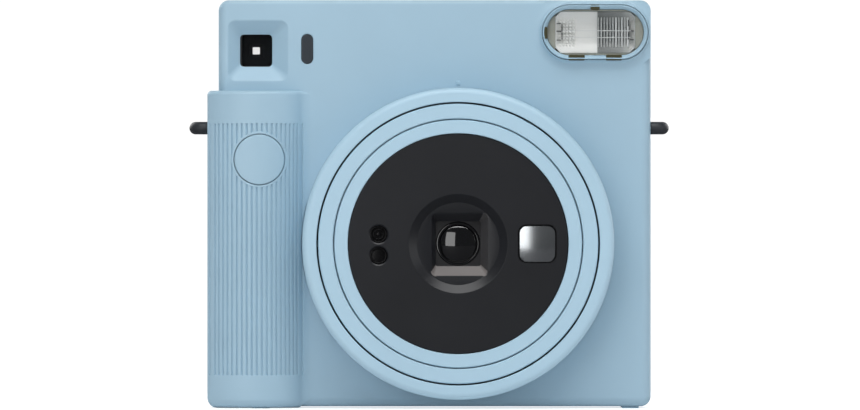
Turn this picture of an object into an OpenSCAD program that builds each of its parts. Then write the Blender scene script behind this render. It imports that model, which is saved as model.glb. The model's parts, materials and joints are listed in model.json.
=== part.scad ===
// Instant camera for square film. Units are millimetres.
// Front faces -Y, +X is to the right as seen from the front, +Z is up.
// Origin: middle of the width and depth, on the surface that the feet stand on.

/* [Body] */
// Width of the main body, without grip and strap lugs
body_w = 127.5; // [120:0.5:160]
// Height of the main body, without the feet
body_h = 119.8; // [117:0.1:150]
// Depth of the main body, from its front face to the back of the film door
body_d = 41; // [39:0.5:52]
// Depth of the rear cover
rear_d = 17.25; // [17:0.25:19]
// Wall thickness of the covers
wall = 2; // [1.6:0.1:2.4]
// Corner radius of the body seen from the front
corner_r = 3; // [2.5:0.1:5]
// Radius of the front and rear edges
edge_r = 2.6; // [1:0.1:3]
// Height of the feet
foot_h = 0.6; // [0.4:0.1:2]
// Free gap between parts that move past each other
gap = 0.3; // [0.2:0.05:0.4]
// Radial clearance of a shaft in its hole
run = 0.06; // [0.03:0.01:0.1]

/* [Lens barrel] */
// Sideways offset of the lens axis from the middle of the body
lens_shift = 6.9; // [0:0.1:8]
// Height of the lens axis above the bottom of the body
lens_h = 48; // [47.5:0.5:52]
// Outer radius of the turning lens ring
ring_r = 45.9; // [45.5:0.1:47]
// Inner radius of the turning lens ring at its front
ring_hole_r = 41.7; // [41.6:0.1:42]
// How far the lens ring stands out from the front face
ring_out = 16.5; // [14:0.5:20]
// Outer radius of the middle barrel
middle_r = 41.2; // [41:0.1:41.4]
// Outer radius of the inner barrel
inner_r = 36.5; // [36:0.1:37]
// Radius of the black front panel
panel_r = 32.4; // [31:0.1:33]
// Wall of the barrel tubes
barrel_wall = 1.6; // [1.4:0.1:1.8]
// Travel of each barrel stage
stage_travel = 9.5; // [8:0.5:11]
// Diameter of the front lens
lens_d = 13; // [11:0.1:15.6]
// Side of the selfie mirror
mirror_w = 10.9; // [9:0.1:12]
// Distance from the lens axis to the middle of the mirror
mirror_x = 23.3; // [22:0.1:24]
// Diameter of the two round sensor windows
sensor_d = 5.3; // [4:0.1:6]

/* [Grip] */
// How far the grip stands out from the front face
grip_out = 8; // [7.5:0.5:12]
// How far the grip stands out past the side of the body
grip_side = 3.3; // [3:0.1:5]
// Width of the grip, without the blend into the front face
grip_w = 27.6; // [27:0.1:30]
// Height of the grip
grip_h = 93.5; // [90:0.5:100]
// Radius of the curved grip front
grip_r = 17.5; // [17:0.5:22]
// Radius of the hollow blend from the grip into the front face
blend_r = 4.2; // [3:0.1:5]
// Rib spacing around the grip front
rib_pitch = 1.5; // [1.2:0.1:2]
// Rib height
rib_h = 0.45; // [0.3:0.05:0.6]
// Diameter of the shutter button
button_d = 14.8; // [12:0.2:16]
// Travel of the shutter button
button_travel = 1.2; // [0.8:0.1:1.6]

/* [Flash and finder] */
// Length of the flash bezel
flash_w = 31.4; // [30:0.2:33]
// Height of the flash bezel
flash_h = 16.3; // [15:0.1:18]
// Outer width of the finder recess
finder_w = 17; // [15:0.5:17]
// Width of the finder tunnel, outside
tunnel_w = 12; // [11:0.5:13]
// Width of the pill-shaped light window
pill_w = 3.5; // [3:0.1:4]
// Height of the pill-shaped light window
pill_h = 8.9; // [8:0.1:10]

/* [Film side] */
// Width of the film pack
pack_w = 80; // [79.5:0.5:81]
// Height of the film pack
pack_h = 92; // [91:0.5:93]
// Width of the picture area
picture_w = 62; // [60:1:64]
// Radius of the film rollers
roller_r = 3.9; // [3.6:0.05:3.95]
// Diameter of a battery
battery_d = 15.6; // [15:0.1:18.7]
// Length of a battery
battery_l = 27; // [26:0.5:28]
// Travel of the door latch
latch_travel = 4; // [2:0.5:5]

/* [Strap lugs] */
// Diameter of the lug bar
lug_d = 3.7; // [3:0.1:4]
// How far a lug stands out from the body
lug_out = 5.4; // [5:0.1:8]

/* [Hidden] */

$fn = 64;
eps = 0.05;
post_fn = 32;
arc_steps = 5;

// Colours
shell_colour = [0.62, 0.75, 0.84];
ring_colour = [0.66, 0.79, 0.87];
black = [0.16, 0.16, 0.18];
dark_grey = [0.28, 0.30, 0.33];
steel = [0.72, 0.73, 0.75];
glass_colour = [0.75, 0.85, 0.9, 0.5];
white = [0.93, 0.93, 0.92];
copper = [0.72, 0.42, 0.2];
board_green = [0.1, 0.38, 0.22];
battery_gold = [0.75, 0.6, 0.2];

// Body planes
y_rear = (body_d + ring_out) / 2;
y_face = y_rear - body_d;
y_ring = y_face - ring_out;
y_split = y_rear - rear_d;
x_left = -(body_w + grip_side) / 2 + grip_side;
x_right = x_left + body_w;
z_low = foot_h;
z_top = foot_h + body_h;
lens_x = (x_left + x_right) / 2 + lens_shift;
lens_z = z_low + lens_h;

// Barrel
guide_in_r = middle_r + gap;
guide_wall = 1.6;
guide_out_r = guide_in_r + guide_wall;
ring_skirt_in_r = guide_out_r + run;
ring_lip = 2;
ring_back_gap = 0.25;
middle_front_r = inner_r + gap;
pin_r = 1;
slot_r = pin_r + 0.2;
pin_count = 3;
middle_back = y_ring + 34;
inner_back = y_ring + 32;
guide_front = y_ring + ring_lip + gap;
guide_slot_front = guide_front + 1.5;
guide_slot_back = guide_slot_front + stage_travel + 2 * slot_r + 1.6;
middle_pin_y = guide_slot_front + stage_travel + slot_r + 0.9;
inner_pin_y = middle_pin_y + 11;
panel_y = y_ring + 0.6;
panel_t = 4.2;
cone_front_r = 14.6;
cone_back_r = 12.15;
cone_depth = 1.6;
funnel_front = 18.4;
funnel_back = 13.5;
plate_y = panel_y + 10;
plate_t = 1.5;
plate_r = inner_r - barrel_wall - 0.1;
cell_r = 9;
lens_r = lens_d / 2;
blade_y = plate_y + plate_t + 0.4;
blade_t = 0.4;
blade_pivot_x = 16;
blade_pin_r = 0.8;
blade_reach_r = 6.4;
aperture_r = 5;
sensor_x = -23.4;
sensor_upper_z = 2.8;
sensor_lower_z = -3.5;
sensor_depth = 3;

// Grip
x_grip = x_left - grip_side;
grip_right = x_grip + grip_w;
grip_cx = x_grip + grip_w / 2;
y_grip = y_face - grip_out;
grip_cy = y_grip + grip_r;
grip_corner = 3.5;
grip_back = y_rear - 4.8;
grip_low = foot_h - 0.4;
grip_top = grip_low + grip_h;
grip_wall = 2;
band = 9.6;
corner_cx = x_grip + grip_corner;
corner_cy = grip_cy - sqrt(pow(grip_r - grip_corner, 2) - pow(grip_cx - corner_cx, 2));
left_angle = atan2(corner_cy - grip_cy, corner_cx - grip_cx) + 360;
blend_cy = y_face - blend_r;
blend_cx = grip_cx + sqrt(pow(grip_r + blend_r, 2) - pow(grip_cy - blend_cy, 2));
right_angle = atan2(blend_cy - grip_cy, blend_cx - grip_cx) + 360;
rib_step = rib_pitch / grip_r * 180 / PI;
rib_count = floor((right_angle - left_angle) / rib_step);
rib_start = (left_angle + right_angle - rib_count * rib_step) / 2;

// Shutter button, measured from the grip's left side and top
button_x = x_grip + 15.4;
button_z = grip_top - 20.3;
button_rim = 0.9;
button_proud = 0.2;
button_flange = 0.9;
button_y = y_grip - 0.5;
button_len = 6;
switch_y = button_y + button_len + button_travel + 0.3;

// Flash
flash_x = x_right - 0.7 - flash_w / 2;
flash_z = z_top - 1.3 - flash_h / 2;
flash_out = 2.2;
flash_rim = 1.3;
flash_inner_w = flash_w - 2 * flash_rim;
flash_inner_h = flash_h - 2 * flash_rim;
reflector_w = 23.4;
reflector_h = 12.2;
reflector_d = 7;
window_t = 1.2;
flash_window_y = y_face - flash_out + 1.2;
tube_r = 1.4;

// Finder
finder_x = x_left + 3.1 + finder_w / 2;
finder_z = z_top - 6.1 - finder_w / 2 - 0.25;
finder_inner = 9.5;
finder_depth = 3.4;
tunnel_wall = 1.2;
tunnel_y0 = y_face + finder_depth;
tunnel_y1 = y_rear - 2.6;

// Light window
pill_x = x_left + 24.4 + pill_w / 2;
pill_z = z_top - 14.4;
pill_depth = 1.6;

// Film side
film_y = y_rear - 15.3;
chamber_wall = 1.4;
pack_gap = 0.6;
chamber_x0 = lens_x - pack_w / 2 - pack_gap - chamber_wall;
chamber_x1 = lens_x + pack_w / 2 + pack_gap + chamber_wall;
chamber_z0 = z_low + 4.4;
chamber_z1 = chamber_z0 + pack_h + 2 * pack_gap + 2 * chamber_wall;
chamber_y0 = film_y - 2.9;
chamber_y1 = y_rear - wall - 0.5;
chamber_front_t = 1.5;
pick_x0 = chamber_x0 + chamber_wall + 1;
pick_z0 = chamber_z0 + 3;
pick_travel = 7;
roller_z = chamber_z1 + roller_r + 0.8;
roller_gap = 0.2;
roller_y_front = film_y - roller_r - roller_gap / 2;
roller_y_rear = film_y + roller_r + roller_gap / 2;
roller_x0 = chamber_x0 + chamber_wall + 2.2;
roller_x1 = chamber_x1 - chamber_wall - 2.2;
shaft_r = 1.4;
bracket_t = 1.5;
bracket_gap = 0.4;
bracket_left_x = roller_x0 - bracket_gap - bracket_t;
bracket_right_x = roller_x1 + bracket_gap;

// Gears: the module follows the roller spacing
roller_teeth = 16;
idler_teeth = 32;
pinion_teeth = 8;
gear_module = (2 * roller_r + roller_gap) / roller_teeth;
backlash = 0.08;
idler_axle_r = 1.2;
gear_x = chamber_x0 - 0.5;
gear_t = 2.4;
idler_y = roller_y_rear;
idler_z = roller_z - gear_module * (roller_teeth + idler_teeth) / 2;
pinion_drop = gear_module * (idler_teeth + pinion_teeth) / 2;
pinion_y = idler_y - pinion_drop * 0.8;
pinion_z = idler_z - pinion_drop * 0.6;
// A pinion tooth on the line between the centres has to meet a gap of the idler
idler_bearing = atan2(idler_z - pinion_z, idler_y - pinion_y);
idler_tooth_step = 360 / idler_teeth;
idler_phase = 90 + 180 / idler_teeth;
idler_shift = (idler_bearing + 180 - idler_phase) / idler_tooth_step;
idler_offset = (idler_shift - floor(idler_shift)) * idler_tooth_step;
pinion_phase = idler_bearing + (idler_offset - idler_tooth_step / 2) * idler_teeth / pinion_teeth;
motor_shaft_r = 0.8;
motor_r = 6;
motor_l = 18;
motor_x1 = gear_x - gear_t - 1;

// Film door and its hinge
knuckle_r = 3;
hinge_x = x_right - knuckle_r;
hinge_y = y_rear - knuckle_r;
hinge_pin_r = 1;
door_x0 = chamber_x0 - 2.6;
door_z0 = z_low + 2.6;
door_z1 = chamber_z1 + 3;
door_gap = 0.3;
knuckle_cut = knuckle_r + 0.35;
knuckle_h = 16;
knuckle_rows = [door_z0 + 8, door_z1 - 8 - knuckle_h];
pin_z0 = door_z0 + 1;
pin_z1 = door_z1 - 1;
door_window_w = 6;
door_window_h = 24;
door_window_x = lens_x + 20;
latch_x = door_x0 + 5.2;
latch_z = door_z0 + 62;
latch_w = 5;
latch_h = 13;

// Exit slot and flap
slot_w = pack_w - 2;
flap_y0 = film_y - 1.2;
flap_y1 = film_y + 1.9;
flap_t = 0.9;
flap_pin_r = 0.5;
flap_axis_y = flap_y0 + 0.7;
flap_axis_z = z_top - 1.1;

// Counter
counter_r = 8;
counter_x = x_left + 14;
counter_z = z_low + 24;
counter_y = y_rear - wall - 2;
counter_hole_r = 3;

// Batteries
battery_r = battery_d / 2;
box_wall = 1.1;
battery_x = x_left + wall + battery_r + 0.4;
battery_z = z_low + 12.6;
battery_front_y = y_grip + grip_wall + battery_r + box_wall + 0.5;
battery_rear_y = battery_front_y + battery_d + 1.4;
battery_right = battery_x + battery_r + box_wall;
battery_back = battery_rear_y + battery_r + box_wall;
counter_hub_y = max(counter_y - 4, battery_back + gap);
bat_door_y0 = battery_front_y - battery_r + 5;
bat_door_y1 = battery_rear_y + battery_r + 1;
bat_door_z0 = battery_z - 1.6;
bat_door_z1 = battery_z + battery_l + 1.6;
bat_door_t = 1.8;
bat_hinge_r = 1.3;
bat_hinge_pin_r = 0.6;
bat_hinge_x = x_grip + bat_hinge_r;
bat_hinge_y = bat_door_y1 + bat_hinge_r;

// Screws
screw_head_r = 1.9;
screw_r = 0.9;
screw_l = 7;
screw_z = [z_low + 5, z_top - 28];
screw_x = x_left + 5;
screw_boss_r = 2.6;
bottom_screws = [lens_x - 30, lens_x + 30];
foot_size = [5, 5];
foot_spots = [
    [x_left + 12.5, y_face + 5], [x_right - 6, y_face + 5],
    [x_left + 12.5, y_rear - 7], [x_right - 6, y_rear - 7]
];

lug_z = z_top - 37.7;
lug_y = y_face + 7;
lug_span = 9;
lug_half = lug_span / 2 + 0.1;
lug_plate_h = 6;

// Shapes that repeat

function arc(cx, cy, r, a0, a1, steps) =
    [for (i = [0:steps]) let (a = a0 + (a1 - a0) * i / steps) [cx + r * cos(a), cy + r * sin(a)]];

// Outline in X and Z, pushed from y0 back to y1
module slab(y0, y1) {
    translate([0, y1, 0]) rotate([90, 0, 0]) linear_extrude(y1 - y0) children();
}

// Profile of radius and Y, turned about a line along Y
module turned(x, z) {
    translate([x, 0, z]) rotate([-90, 0, 0]) rotate_extrude($fn = 128) children();
}

module ring_y(x, z, r_out, r_in, y0, y1) {
    turned(x, z) translate([r_in, y0]) square([r_out - r_in, y1 - y0]);
}

module rod_y(x, z, r, y0, y1) {
    translate([x, y0, z]) rotate([-90, 0, 0]) cylinder(r = r, h = y1 - y0);
}

module rod_x(y, z, r, x0, x1) {
    translate([x0, y, z]) rotate([0, 90, 0]) cylinder(r = r, h = x1 - x0);
}

module rod_z(x, y, r, z0, z1) {
    translate([x, y, z0]) cylinder(r = r, h = z1 - z0);
}

module box(x0, x1, y0, y1, z0, z1) {
    translate([x0, y0, z0]) cube([x1 - x0, y1 - y0, z1 - z0]);
}

// Stadium outline centred on a point
module stadium(cx, cz, w, h) {
    translate([cx, cz]) {
        square([w - h, h], center = true);
        for (side = [-1, 1]) translate([side * (w - h) / 2, 0]) circle(d = h);
    }
}

// Upright pill outline
module pill(cx, cz, w, h) {
    translate([cx, cz]) {
        square([w, h - w], center = true);
        for (side = [-1, 1]) translate([0, side * (h - w) / 2]) circle(d = w);
    }
}

// Rounded rectangle outline centred on a point
module soft_rect(cx, cz, w, h, r) {
    translate([cx, cz]) {
        square([w - 2 * r, h], center = true);
        square([w, h - 2 * r], center = true);
        for (sx = [-1, 1], sz = [-1, 1])
            translate([sx * (w / 2 - r), sz * (h / 2 - r)]) circle(r = r);
    }
}

// Rectangular funnel between two planes
module funnel(cx, cz, w0, h0, y0, w1, h1, y1) {
    hull() {
        translate([cx, y0, cz]) cube([w0, 0.02, h0], center = true);
        translate([cx, y1, cz]) cube([w1, 0.02, h1], center = true);
    }
}

// One corner of the body: a post along Y with its ends rounded
module corner_post(x, z, y0, y1, r_front, r_rear) {
    front = r_front > 0 ? arc(corner_r - r_front, y0 + r_front, r_front, -90, 0, arc_steps)
        : [[corner_r, y0]];
    rear = r_rear > 0 ? arc(corner_r - r_rear, y1 - r_rear, r_rear, 0, 90, arc_steps)
        : [[corner_r, y1]];
    translate([x, 0, z]) rotate([-90, 0, 0]) rotate_extrude($fn = post_fn)
        polygon(concat([[0, y0]], front, rear, [[0, y1]]));
}

module body_block(y0, y1, r_front, r_rear) {
    hull() {
        for (x = [x_left + corner_r, x_right - corner_r], z = [z_low + corner_r, z_top - corner_r])
            corner_post(x, z, y0, y1, r_front, r_rear);
    }
}

// Involute gear outline
function involute(base, a) = [
    base * (cos(a) + a * PI / 180 * sin(a)),
    base * (sin(a) - a * PI / 180 * cos(a))
];
function spun(p, a) = [p[0] * cos(a) - p[1] * sin(a), p[0] * sin(a) + p[1] * cos(a)];
function gear_points(teeth) =
    let (
        pitch = gear_module * teeth / 2,
        base = pitch * cos(20),
        tip = pitch + gear_module * 0.9,
        root = pitch - gear_module * 1.2,
        roll_pitch = sqrt(pow(pitch / base, 2) - 1) * 180 / PI,
        roll_tip = sqrt(pow(tip / base, 2) - 1) * 180 / PI,
        lean = roll_pitch - atan(roll_pitch * PI / 180),
        half = 90 / teeth - backlash / 2 / pitch * 180 / PI + lean,
        steps = 3
    )
    [for (t = [0:teeth - 1]) let (mid = 360 * t / teeth) each concat(
        [spun([root, 0], mid - half)],
        [for (i = [0:steps]) spun(involute(base, roll_tip * i / steps), mid - half)],
        [for (i = [steps:-1:0]) let (p = involute(base, roll_tip * i / steps))
            spun([p[0], -p[1]], mid + half)],
        [spun([root, 0], mid + half)]
    )];

// Gear whose axis runs along X, with tooth 0 at the given angle from +Y towards +Z
module gear_x_axis(y, z, teeth, phase, x0, x1, bore) {
    difference() {
        translate([x0, y, z]) rotate([90, 0, 90]) linear_extrude(x1 - x0)
            rotate(phase) polygon(gear_points(teeth));
        if (bore > 0) rod_x(y, z, bore, x0 - 1, x1 + 1);
    }
}

// Grip section in X and Y. The inset moves every face inwards and ribs adds the rib pattern.
function rib_wave(inset) = [
    for (i = [0:rib_count - 1]) each [
        polar(grip_r - inset, rib_start + i * rib_step),
        polar(grip_r - inset, rib_start + (i + 0.55) * rib_step),
        polar(grip_r - inset - rib_h, rib_start + (i + 0.68) * rib_step),
        polar(grip_r - inset - rib_h, rib_start + (i + 0.87) * rib_step)
    ],
    polar(grip_r - inset, rib_start + rib_count * rib_step)
];
function polar(r, a) = [grip_cx + r * cos(a), grip_cy + r * sin(a)];

function grip_section(inset, ribs) = concat(
    [[x_grip + inset, y_face]],
    arc(corner_cx, corner_cy, grip_corner - inset, 180, left_angle, arc_steps),
    ribs ? rib_wave(inset) : arc(grip_cx, grip_cy, grip_r - inset, left_angle, right_angle, 20),
    inset > 0 ? [[grip_right - inset, y_face]]
        : concat(arc(blend_cx, blend_cy, blend_r, right_angle - 180, 90, arc_steps), [[blend_cx, y_face]])
);

// Housing

module front_cover() {
    color(shell_colour) difference() {
        union() {
            difference() {
                body_block(y_face, y_split, edge_r, 0);
                box(x_left + wall, x_right - wall, y_face + wall, y_split + 1,
                    z_low + wall, z_top - wall);
            }
            slab(y_face - flash_out + 0.8, y_face + wall)
                stadium(flash_x, flash_z, flash_w + 1, flash_h + 1);
            slab(y_face + 1, tunnel_y0) soft_rect(finder_x, finder_z, finder_w + 1, finder_w + 1, 2);
            slab(y_face - 0.3, y_face + 1) soft_rect(lens_x, lens_z + ring_r + 1.5, 1.2, 1.2, 0.4);
        }
        rod_y(lens_x, lens_z, guide_out_r + 0.1, y_face - 5, y_face + wall + 1);
        slab(y_face - 5, y_face + wall + 1) stadium(flash_x, flash_z, flash_w, flash_h);
        funnel(finder_x, finder_z, finder_w, finder_w, y_face - 0.02,
            finder_inner, finder_inner, tunnel_y0 + 0.02);
        slab(y_face - 1, y_face + wall + 1) pill(pill_x, pill_z, pill_w, pill_h);
        box(x_left + wall, max(grip_right - 3, battery_right + gap), y_face - 1, y_face + wall + 1,
            z_low + 8, grip_top - 6);
        box(x_left - 1, x_left + wall + 1, bat_door_y0 - 3, bat_door_y1 + 3,
            bat_door_z0 - 1, bat_door_z1 + 1);
        box(x_left - 1, x_left + wall + 1, lug_y - lug_half, lug_y + lug_half,
            lug_z - lug_plate_h / 2 - 0.1, lug_z + lug_plate_h / 2 + 0.1);
        box(x_right - wall - 1, x_right + 1, lug_y - lug_half,
            lug_y + lug_half, lug_z - lug_plate_h / 2 - 0.1, lug_z + lug_plate_h / 2 + 0.1);
    }
}

module rear_cover() {
    strip_x = door_x0 - door_gap;
    color(shell_colour) difference() {
        union() {
            difference() {
                body_block(y_split, y_rear, 0, edge_r);
                box(x_left + wall, x_right - wall, y_split - 1, y_rear - wall,
                    z_low + wall, z_top - wall);
            }
            for (z = screw_z) rod_y(screw_x, z, screw_boss_r, y_rear - screw_l, y_rear - wall);
            box(x_left + wall, strip_x - 0.2, y_rear - wall - 1.2, y_rear - wall,
                counter_z + counter_r + 1, counter_z + counter_r + 2);
        }
        // Door opening, with the whole right edge cut back for the hinge knuckles
        box(strip_x, x_right - wall - 1, y_rear - wall - 1, y_rear + 1,
            door_z0 - door_gap, door_z1 + door_gap);
        box(x_right - 2 * knuckle_r - 1, x_right + 1, hinge_y - knuckle_cut, y_rear + 1,
            door_z0 - door_gap, door_z1 + door_gap);
        box(x_left - 1, x_left + wall + 1, y_split - 1, bat_door_y1 + 1.5,
            bat_door_z0 - 1, bat_door_z1 + 1);
        box(lens_x - slot_w / 2 - 1.2, lens_x + slot_w / 2 + 1.2, flap_y0 - 0.5, flap_y1 + 0.2,
            z_top - wall - 1, z_top + 1);
        rod_x(flap_axis_y, flap_axis_z, flap_pin_r + run,
            lens_x - slot_w / 2 - 2.6, lens_x + slot_w / 2 + 2.6);
        slab(y_rear - wall - 1, y_rear + 1)
            soft_rect(finder_x, finder_z, tunnel_w + 0.1, tunnel_w + 0.1, 1.5);
        rod_y(counter_x, counter_z + 4, counter_hole_r, y_rear - wall - 1, y_rear + 1);
        for (z = screw_z) {
            rod_y(screw_x, z, screw_r + 0.02, y_rear - screw_l - 1, y_rear + 1);
            rod_y(screw_x, z, screw_head_r + 0.1, y_rear - 1.4, y_rear + 1);
        }
        for (x = bottom_screws) {
            rod_z(x, y_rear - 7, screw_r + 0.02, z_low - 1, z_low + wall + 1);
            rod_z(x, y_rear - 7, screw_head_r + 0.1, z_low - 1, z_low + 1.1);
        }
    }
    // Knuckles on the cover that hold the hinge pin at its two ends and in the middle
    color(shell_colour) for (span = cover_knuckles()) difference() {
        union() {
            rod_z(hinge_x, hinge_y, knuckle_r, span[0], span[1]);
            box(hinge_x + knuckle_r - wall, x_right, hinge_y - knuckle_cut - eps, hinge_y,
                span[0], span[1]);
        }
        rod_z(hinge_x, hinge_y, hinge_pin_r, span[0] - 1, span[1] + 1);
    }
}

// Height ranges of the knuckles that belong to the cover
function cover_knuckles() = [
    [door_z0 - door_gap - eps, knuckle_rows[0] - gap],
    [knuckle_rows[0] + knuckle_h + gap, knuckle_rows[1] - gap],
    [knuckle_rows[1] + knuckle_h + gap, door_z1 + door_gap + eps]
];

// The round front of the grip, standing further out by the given amount
module grip_round(proud) {
    rod_z(grip_cx, grip_cy, grip_r + proud, grip_low, grip_top, $fn = 128);
}

module grip_cover() {
    color(shell_colour) difference() {
        union() {
            translate([0, 0, grip_low]) linear_extrude(band) polygon(grip_section(0, false));
            translate([0, 0, grip_low + band]) linear_extrude(grip_h - 2 * band)
                polygon(grip_section(0, true));
            translate([0, 0, grip_top - band]) linear_extrude(band)
                polygon(grip_section(0, false));
            intersection() {
                rod_y(button_x, button_z, button_d / 2 + button_rim, y_grip - 1, y_grip + 5);
                grip_round(0);
            }
            box(x_grip, x_left, y_face - eps, grip_back, grip_low, grip_top);
        }
        translate([0, 0, grip_low + grip_wall]) linear_extrude(grip_h - 2 * grip_wall)
            polygon(concat(grip_section(grip_wall, false), [[grip_right - grip_wall, y_face + 1],
                [x_grip + grip_wall, y_face + 1]]));
        rod_y(button_x, button_z, button_d / 2 + 0.2, y_grip - 2, y_grip + 6);
        rod_y(button_x, button_z, button_d / 2 + button_flange + gap,
            button_y + button_len - 1.2 - gap, y_face);
        rod_y(lens_x, lens_z, ring_r + 0.4, y_ring, y_face);
        box(x_grip - 1, x_left + 1, bat_door_y0, bat_door_y1, bat_door_z0, bat_door_z1);
        box(x_grip - 1, x_left + 1, bat_door_y1 - 1, bat_door_y1 + 2 * bat_hinge_r + 0.6,
            bat_door_z0, bat_door_z1);
        rod_z(bat_hinge_x, bat_hinge_y, bat_hinge_pin_r + run, bat_door_z0 - 2, bat_door_z1 + 2);
        box(x_grip - 1, x_left + 1, lug_y - lug_half, lug_y + lug_half,
            lug_z - lug_plate_h / 2 - 0.1, lug_z + lug_plate_h / 2 + 0.1);
    }
}

module feet() {
    color(shell_colour) for (spot = foot_spots)
        translate([spot[0], spot[1], foot_h / 2])
            cube([foot_size[0], foot_size[1], foot_h], center = true);
}

// A U-shaped bar seen from above, on a plate that sits in the side of the body
module strap_lug(side) {
    x_side = side > 0 ? x_right : x_grip;
    x_in = side > 0 ? x_right - wall : x_left + wall;
    bend = lug_span / 2 - lug_d / 2;
    tip = x_side + side * (lug_out - bend - lug_d / 2);
    color(dark_grey) union() {
        translate([tip, lug_y, lug_z]) intersection() {
            rotate_extrude() translate([bend, 0]) circle(d = lug_d);
            translate([side > 0 ? 0 : -20, -20, -20]) cube([20, 40, 40]);
        }
        for (end = [-1, 1]) rod_x(lug_y + end * bend, lug_z, lug_d / 2,
            min(tip, x_in), max(tip, x_in));
        box(min(x_in, x_side - side * 0.4), max(x_in, x_side - side * 0.4),
            lug_y - lug_span / 2, lug_y + lug_span / 2, lug_z - lug_plate_h / 2,
            lug_z + lug_plate_h / 2);
    }
}

module left_strap_lug() {
    strap_lug(-1);
}

module right_strap_lug() {
    strap_lug(1);
}

module case_screws() {
    color(steel) {
        for (z = screw_z) difference() {
            union() {
                rod_y(screw_x, z, screw_head_r, y_rear - 1.4, y_rear - 0.2);
                rod_y(screw_x, z, screw_r, y_rear - screw_l, y_rear - 1.4 + eps);
            }
            slab(y_rear - 0.8, y_rear) translate([screw_x, z]) cross();
        }
        for (x = bottom_screws) difference() {
            union() {
                rod_z(x, y_rear - 7, screw_head_r, z_low + 0.1, z_low + 1.1);
                rod_z(x, y_rear - 7, screw_r, z_low + 1.1 - eps, z_low + 4);
            }
            translate([x, y_rear - 7, z_low - 0.1]) linear_extrude(0.7) cross();
        }
    }
}

module cross() {
    square([2.2, 0.5], center = true);
    square([0.5, 2.2], center = true);
}

// Lens barrel

module barrel_guide() {
    color(black) difference() {
        union() {
            ring_y(lens_x, lens_z, guide_out_r, guide_in_r, guide_front, chamber_y0);
            ring_y(lens_x, lens_z, guide_out_r + 3.4, guide_out_r - eps,
                y_face + wall, y_face + wall + 1.6);
        }
        for (i = [0:pin_count - 1]) translate([lens_x, 0, lens_z]) rotate([0, i * 120 + 30, 0])
            box(-slot_r, slot_r, guide_slot_front, guide_slot_back, guide_in_r - 2,
                guide_out_r + 2);
        // The flange is trimmed beside the grip opening and above the floor of the cover
        box(x_left, grip_right + 0.5, y_face + wall - 1, y_face + wall + 3, 0, z_top);
        box(x_left, x_right, y_face + wall - 1, y_face + wall + 3, 0, z_low + wall + 0.1);
    }
}

module lens_ring() {
    round_r = 1.8;
    color(ring_colour) turned(lens_x, lens_z) polygon(concat(
        [[ring_hole_r, y_ring + 0.3], [ring_hole_r + 0.3, y_ring]],
        arc(ring_r - round_r, y_ring + round_r, round_r, -90, 0, arc_steps),
        [[ring_r, y_face - ring_back_gap], [ring_skirt_in_r, y_face - ring_back_gap],
         [ring_skirt_in_r, y_ring + ring_lip], [ring_hole_r, y_ring + ring_lip]]
    ));
}

module middle_barrel() {
    tube_in_r = middle_r - barrel_wall;
    color(ring_colour) difference() {
        union() {
            turned(lens_x, lens_z) polygon([
                [middle_front_r, y_ring + 0.5], [middle_front_r + 0.3, y_ring + 0.2],
                [middle_r - 0.3, y_ring + 0.2], [middle_r, y_ring + 0.5],
                [middle_r, middle_back], [tube_in_r, middle_back],
                [tube_in_r, y_ring + 2.4], [middle_front_r, y_ring + 2.4]
            ]);
            for (i = [0:pin_count - 1]) translate([lens_x, middle_pin_y, lens_z])
                rotate([0, i * 120 + 30, 0])
                    rod_z(0, 0, pin_r, middle_r - 0.8, guide_out_r - 0.2);
        }
        for (i = [0:pin_count - 1]) translate([lens_x, 0, lens_z]) rotate([0, i * 120 + 90, 0])
            box(-slot_r, slot_r, inner_pin_y - stage_travel - slot_r - 0.8,
                inner_pin_y + slot_r + 0.8, tube_in_r - 2, middle_r + 2);
    }
}

module inner_barrel() {
    flange_r = middle_r - barrel_wall - gap;
    color(ring_colour) union() {
        turned(lens_x, lens_z) polygon([
            [panel_r + 0.1, y_ring + 0.4], [panel_r + 0.3, y_ring + 0.2],
            [inner_r - 0.3, y_ring + 0.2], [inner_r, y_ring + 0.5],
            [inner_r, inner_back - 3], [flange_r, inner_back - 3], [flange_r, inner_back],
            [inner_r - barrel_wall, inner_back], [inner_r - barrel_wall, panel_y + panel_t],
            [panel_r + 0.1, panel_y + panel_t]
        ]);
        ring_y(lens_x, lens_z, inner_r - barrel_wall + eps, plate_r - 2.4,
            plate_y + plate_t, plate_y + plate_t + 1.6);
        for (i = [0:pin_count - 1]) translate([lens_x, inner_pin_y, lens_z])
            rotate([0, i * 120 + 90, 0])
                rod_z(0, 0, pin_r, inner_r - 0.8, middle_r - 0.3);
    }
}

module front_panel() {
    color(black) difference() {
        turned(lens_x, lens_z) polygon([
            [0, panel_y + cone_depth], [cone_back_r, panel_y + cone_depth],
            [cone_front_r, panel_y], [panel_r - 0.2, panel_y], [panel_r, panel_y + 0.2],
            [panel_r, panel_y + panel_t], [0, panel_y + panel_t]
        ]);
        funnel(lens_x, lens_z, funnel_front, funnel_front, panel_y + cone_depth - 0.01,
            funnel_back, funnel_back, panel_y + panel_t + 0.01);
        slab(panel_y - 1, panel_y + 1.4)
            soft_rect(lens_x + mirror_x, lens_z, mirror_w + 0.5, mirror_w + 0.5, 2.5);
        for (z = [sensor_upper_z, sensor_lower_z])
            rod_y(lens_x + sensor_x, lens_z + z, sensor_d / 2, panel_y - 1, panel_y + sensor_depth);
    }
}

module selfie_mirror() {
    dome_r = 60;
    color(steel) intersection() {
        slab(panel_y - 1, panel_y + 1.4)
            soft_rect(lens_x + mirror_x, lens_z, mirror_w, mirror_w, 2.3);
        translate([lens_x + mirror_x, panel_y + dome_r - 0.1, lens_z]) sphere(r = dome_r, $fn = 200);
    }
}

module sensor_window(z, step) {
    r = sensor_d / 2 - 0.1;
    y = panel_y + 1.2;
    turned(lens_x + sensor_x, lens_z + z) polygon([
        [0, y - step], [r * 0.55, y - step], [r * 0.75, y], [r, y],
        [r, panel_y + sensor_depth], [0, panel_y + sensor_depth]
    ]);
}

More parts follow.
